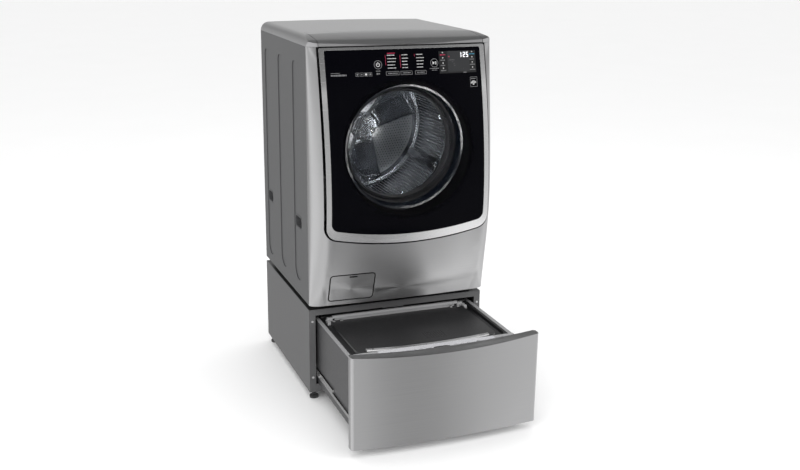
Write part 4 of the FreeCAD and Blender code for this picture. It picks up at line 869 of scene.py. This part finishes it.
def lifter(degrees):
    """Paddle lofted along the drum, with a rounded crest and tapered ends."""
    base = math.radians(degrees)
    verts, faces = [], []
    for k in range(STATIONS + 1):
        t = k / STATIONS
        swell = math.sin(math.pi * t) ** 0.35 if 0 < t < 1 else 0.0
        height, half = 0.008 + 0.050 * swell, 0.012 + 0.010 * swell
        y = DRUM_FRONT + LIFTER_FROM + LIFTER_LENGTH * t
        for m in range(CREST_SIDES + 1):
            turn = math.pi * m / CREST_SIDES
            across = half * math.cos(turn)
            radial = math.sqrt(LIFTER_ROOT_R ** 2 - across ** 2) - height * math.sin(turn) ** 0.55
            verts.append((radial * math.cos(base) - across * math.sin(base), y,
                          DOOR_Z + radial * math.sin(base) + across * math.cos(base)))
    n = CREST_SIDES + 1
    for k in range(STATIONS):
        for m in range(CREST_SIDES):
            faces.append([k * n + m, k * n + m + 1, (k + 1) * n + m + 1, (k + 1) * n + m])
        faces.append([k * n, (k + 1) * n, (k + 1) * n + CREST_SIDES, k * n + CREST_SIDES])
    faces.append(list(range(n)))
    faces.append([STATIONS * n + m for m in range(n)][::-1])
    return verts, faces


lifter_piece = make("lifter_paddles", *join_meshes([lifter(degrees) for degrees in LIFTER_ANGLES]),
                    MATERIALS["drum_steel"], "drum_group", "steel", smooth=True)
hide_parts("drum_lifters")

# ---- control strip of the mini washer ----
strip = Surface("control_strip", (0, 0, -1))
marks = Print(strip)
clock = Print(strip, thickness=0.00015, base=0.00035)
STRIP_Y = -0.497
STRIP_KEYS = (-0.140, -0.118, -0.092, -0.070, 0.062, 0.086, 0.110, 0.178)
CLOCK_DIGITS, CLOCK_HALF = (-0.010, 0.002, 0.014, 0.026), 0.003
for x in STRIP_KEYS:
    marks.ring(x, STRIP_Y, 0.0055, 0.0044, 0, 360, 14)
    marks.dashes(x - 0.008, x + 0.008, STRIP_Y - 0.012, 0.003)
marks.dashes(-0.050, -0.032, STRIP_Y, 0.004)
marks.panel(-0.022, 0.038, STRIP_Y - 0.0245, STRIP_Y + 0.0055, 4)
for x in CLOCK_DIGITS:
    clock.bar(x - CLOCK_HALF, x + CLOCK_HALF, STRIP_Y - 0.016, STRIP_Y - 0.003)
marks.write("strip_marks", INK_AND_SHADE["black"], "drawer", "strip_plastic")
clock.write("strip_digits", INK_AND_SHADE["grey"], "drawer", "strip_plastic")

# ---- lid grip texture: a small field of raised dots ----
dots = Print(Surface("drawer_lid", (0, 0, -1)), thickness=0.0004, base=0.0)
FIELD_X, FIELD_Y, DOT_PITCH, DOT_R = 0.050, -0.330, 0.009, 0.0022
for i in range(-4, 5):
    for j in range(-3, 4):
        dots.disc(FIELD_X + DOT_PITCH * i, FIELD_Y + DOT_PITCH * j, DOT_R, 8)
dots.write("lid_dots", MATERIALS["lid_plastic"], "lid", "lid_plastic")

# ---- floor ----
FLOOR_HALF = 30
floor_mesh = bpy.data.meshes.new("floor")
floor_mesh.from_pydata([(-FLOOR_HALF, -FLOOR_HALF, 0), (FLOOR_HALF, -FLOOR_HALF, 0),
                        (FLOOR_HALF, FLOOR_HALF, 0), (-FLOOR_HALF, FLOOR_HALF, 0)], [], [(0, 1, 2, 3)])
paint = Shader("floor_paint", (0.93, 0.93, 0.93), 0.7)
paint.set("Base Color", paint.mix(paint.noise((1.5, 1.5, 1.5)), (0.92, 0.92, 0.92), (0.94, 0.94, 0.94)))
floor_mesh.materials.append(paint.material)
floor_piece = bpy.data.objects.new("floor", floor_mesh)
bpy.context.scene.collection.objects.link(floor_piece)
floor_piece.visible_glossy = False

# ---- studio that glossy surfaces reflect ----
# Brightness by azimuth in degrees (0 is straight out of the front, 90 is the machine's right), in four
# bands of elevation from the lowest up, with one even level overhead.
STUDIO_LOWEST = ((-180, 0.30), (-163, 0.25), (-150, 0.85), (-118, 1.10), (-95, 0.95), (-48, 1.00), (14, 0.95),
                 (21, 0.42), (30, 0.60), (37, 1.15), (62, 1.10), (150, 0.90), (163, 0.25), (180, 0.30))
STUDIO_BELOW = ((-180, 0.30), (-163, 0.25), (-150, 0.85), (-118, 1.10), (-95, 0.95), (-48, 1.00), (8, 0.95),
                (15, 0.13), (20, 0.05), (24, 0.09), (29, 0.55), (35, 1.20), (62, 1.10), (150, 0.90),
                (163, 0.25), (180, 0.30))
STUDIO_LEVEL = ((-180, 0.35), (-163, 0.25), (-150, 0.90), (-135, 1.20), (-118, 1.25), (-95, 0.95),
                (-60, 0.95), (2, 0.95), (10, 0.42), (20, 0.48), (30, 0.66), (38, 0.62), (60, 1.00),
                (150, 0.90), (163, 0.25), (180, 0.35))
STUDIO_ABOVE = ((-180, 0.50), (-163, 0.30), (-150, 0.85), (-135, 1.10), (-100, 1.00), (-48, 1.10), (0, 0.90),
                (12, 0.30), (26, 0.26), (36, 0.80), (60, 1.00), (110, 0.60), (145, 0.80), (180, 0.80))
STUDIO_OVERHEAD, STUDIO_PEAK = 0.06, 1.4
WHITE_BACK = 1.08
# height of the view direction, from 0 level to 1 straight up, over which one band turns into the next
BAND_SEAMS = ((-0.82, -0.68), (-0.60, -0.44), (-0.30, 0.0), (0.24, 0.44))


def sky():
    """White for the camera and for diffuse light; glossy rays see the studio tables."""
    world = bpy.data.worlds.new("studio")
    bpy.context.scene.world = world
    world.use_nodes = True
    tree = world.node_tree
    tree.nodes.clear()

    def node(kind, **settings):
        made = tree.nodes.new(kind)
        for key, value in settings.items():
            setattr(made, key, value)
        return made

    def wire(source, target):
        tree.links.new(source, target)

    def calc(operation, *values):
        made = node("ShaderNodeMath", operation=operation)
        for index, value in enumerate(values):
            if isinstance(value, bpy.types.NodeSocket):
                wire(value, made.inputs[index])
            else:
                made.inputs[index].default_value = value
        return made.outputs[0]

    def ramp(source, low, high):
        made = node("ShaderNodeMapRange", interpolation_type="SMOOTHSTEP")
        wire(source, made.inputs[0])
        made.inputs[1].default_value = low
        made.inputs[2].default_value = high
        return made.outputs[0]

    def blend(factor, a, b):
        return calc("ADD", calc("MULTIPLY", a, calc("SUBTRACT", 1.0, factor)), calc("MULTIPLY", b, factor))

    def band(turn, stops):
        made = node("ShaderNodeValToRGB")
        ramp_stops = made.color_ramp.elements
        for index, (degrees, level) in enumerate(stops):
            place = degrees / 360 + 0.5
            stop = ramp_stops[index] if index < 2 else ramp_stops.new(place)
            stop.position = place
            stop.color = (level / STUDIO_PEAK, level / STUDIO_PEAK, level / STUDIO_PEAK, 1.0)
        wire(turn, made.inputs[0])
        return made.outputs[0]

    def backdrop_light(strength):
        made = node("ShaderNodeBackground")
        made.inputs["Color"].default_value = (1, 1, 1, 1)
        if isinstance(strength, bpy.types.NodeSocket):
            wire(strength, made.inputs["Strength"])
        else:
            made.inputs["Strength"].default_value = strength
        return made.outputs[0]

    split = node("ShaderNodeSeparateXYZ")
    wire(node("ShaderNodeTexCoord").outputs["Generated"], split.inputs[0])
    x, y, z = split.outputs
    azimuth = calc("ARCTAN2", x, calc("MULTIPLY", y, -1.0))
    turn = calc("ADD", calc("DIVIDE", azimuth, 2 * math.pi), 0.5)
    levels = [band(turn, stops) for stops in (STUDIO_LOWEST, STUDIO_BELOW, STUDIO_LEVEL, STUDIO_ABOVE)]
    levels.append(STUDIO_OVERHEAD / STUDIO_PEAK)
    strength = levels[0]
    for (low, high), level in zip(BAND_SEAMS, levels[1:]):
        strength = blend(ramp(z, low, high), strength, level)
    choose = node("ShaderNodeMixShader")
    wire(node("ShaderNodeLightPath").outputs["Is Glossy Ray"], choose.inputs[0])
    wire(backdrop_light(WHITE_BACK), choose.inputs[1])
    wire(backdrop_light(calc("MULTIPLY", strength, STUDIO_PEAK)), choose.inputs[2])
    wire(choose.outputs[0], node("ShaderNodeOutputWorld").inputs[0])


sky()


# ---- lamps ----
def area(name, place, target, size, power):
    light_data = bpy.data.lights.new(name, "AREA")
    light_data.energy = power
    light_data.shape = "RECTANGLE"
    light_data.size, light_data.size_y = size
    lamp = bpy.data.objects.new(name, light_data)
    lamp.location = place
    lamp.rotation_euler = (Vector(target) - Vector(place)).to_track_quat("-Z", "Y").to_euler()
    bpy.context.scene.collection.objects.link(lamp)
    lamp.visible_glossy = False
    return lamp


MACHINE_MIDDLE = (0, 0, 0.7)
for name, place, side, power in (("key", (-2.6, -3.0, 3.2), 2.5, 50), ("fill", (3.2, -2.4, 2.4), 2.5, 30),
                                 ("top", (0, 0.2, 4.2), 3.0, 40)):
    area(name, place, MACHINE_MIDDLE, (side, side), power)

# narrow lamps in the mouth of the drum, which draw long bright lines on the drum
DRUM_MIDDLE = (0.0, 0.26, DOOR_Z)
STRIP_THIN, STRIP_THICK = 0.010, 0.012
for name, x, z, size, power in (("drum_upper", 0.02, 0.180, (0.20, STRIP_THICK), 0.50),
                                ("drum_left", -0.180, 0.01, (STRIP_THIN, 0.20), 0.32),
                                ("drum_right", 0.17, -0.06, (STRIP_THIN, 0.16), 0.36),
                                ("drum_lower", -0.03, -0.180, (0.16, STRIP_THIN), 0.26)):
    lamp = area(name, (x, 0.0, DOOR_Z + z), DRUM_MIDDLE, size, power)
    lamp.visible_glossy = True
    lamp.visible_camera = False

# The photo's front panel mirrors no drawer, so reflections skip the drawer's large pieces.
for mirrored in ("drawer_front_panel", "drawer_rim", "drawer_box", "drawer_lid", "control_ledge"):
    NODES[mirrored].visible_glossy = False

# Thin arcs of light on the front face of the door ring. The face leans inwards by LIP_TILT.
EYE = Vector((-1.337, -3.561, 1.715))
LIP_R, LIP_Y, LIP_TILT = RING_R - 0.004, ring_low.y + 0.0005, 1.5 / 8
GLINT_WIDTH, GLINT_REACH = 0.02, 0.5
ring_only = bpy.data.collections.new("ring_only")
ring_only.objects.link(NODES["door_ring"])


def ring_glint(name, degrees, length, radiance):
    """Small lamp that only the door ring reflects, placed so that EYE sees its arc at the given angle."""
    angle = math.radians(degrees)
    spot = Vector((LIP_R * math.cos(angle), LIP_Y, DOOR_Z + LIP_R * math.sin(angle)))
    ray = (spot - EYE).normalized()
    facing = Vector((-LIP_TILT * math.cos(angle), -1, -LIP_TILT * math.sin(angle))).normalized()
    away = ray - 2 * ray.dot(facing) * facing
    along = Vector((-math.sin(angle), 0, math.cos(angle)))
    across = away.cross(along).normalized()
    power = radiance * math.pi * length * GLINT_WIDTH
    lamp = area(name, spot + away * GLINT_REACH, spot, (length, GLINT_WIDTH), power)
    lamp.rotation_euler = Matrix((across.cross(away), across, away)).transposed().to_euler()
    lamp.visible_glossy = True
    lamp.visible_camera = False
    lamp.visible_diffuse = False
    lamp.light_linking.receiver_collection = ring_only


for degrees, length, radiance in ((72, 0.050, 26), (13, 0.050, 24), (178, 0.080, 17), (300, 0.060, 12)):
    ring_glint(f"ring_glint_{degrees}", degrees, length, radiance)

# ---- camera ----
AIM = Vector((0.009, -0.077, 0.622))
ROLL = math.radians(0.7)
camera_data = bpy.data.cameras.new("camera")
camera_data.lens = 46.53
camera_data.sensor_width = 36.0
camera = bpy.data.objects.new("camera", camera_data)
forward = (AIM - EYE).normalized()
level_right = forward.cross(Vector((0, 0, 1))).normalized()
level_up = level_right.cross(forward)
right_axis = level_right * math.cos(ROLL) + level_up * math.sin(ROLL)
up_axis = level_up * math.cos(ROLL) - level_right * math.sin(ROLL)
rows = Matrix((right_axis, up_axis, -forward)).transposed()
camera.matrix_world = Matrix.Translation(EYE) @ rows.to_4x4()
bpy.context.scene.collection.objects.link(camera)
bpy.context.scene.camera = camera
bpy.context.scene.view_settings.view_transform = "Standard"
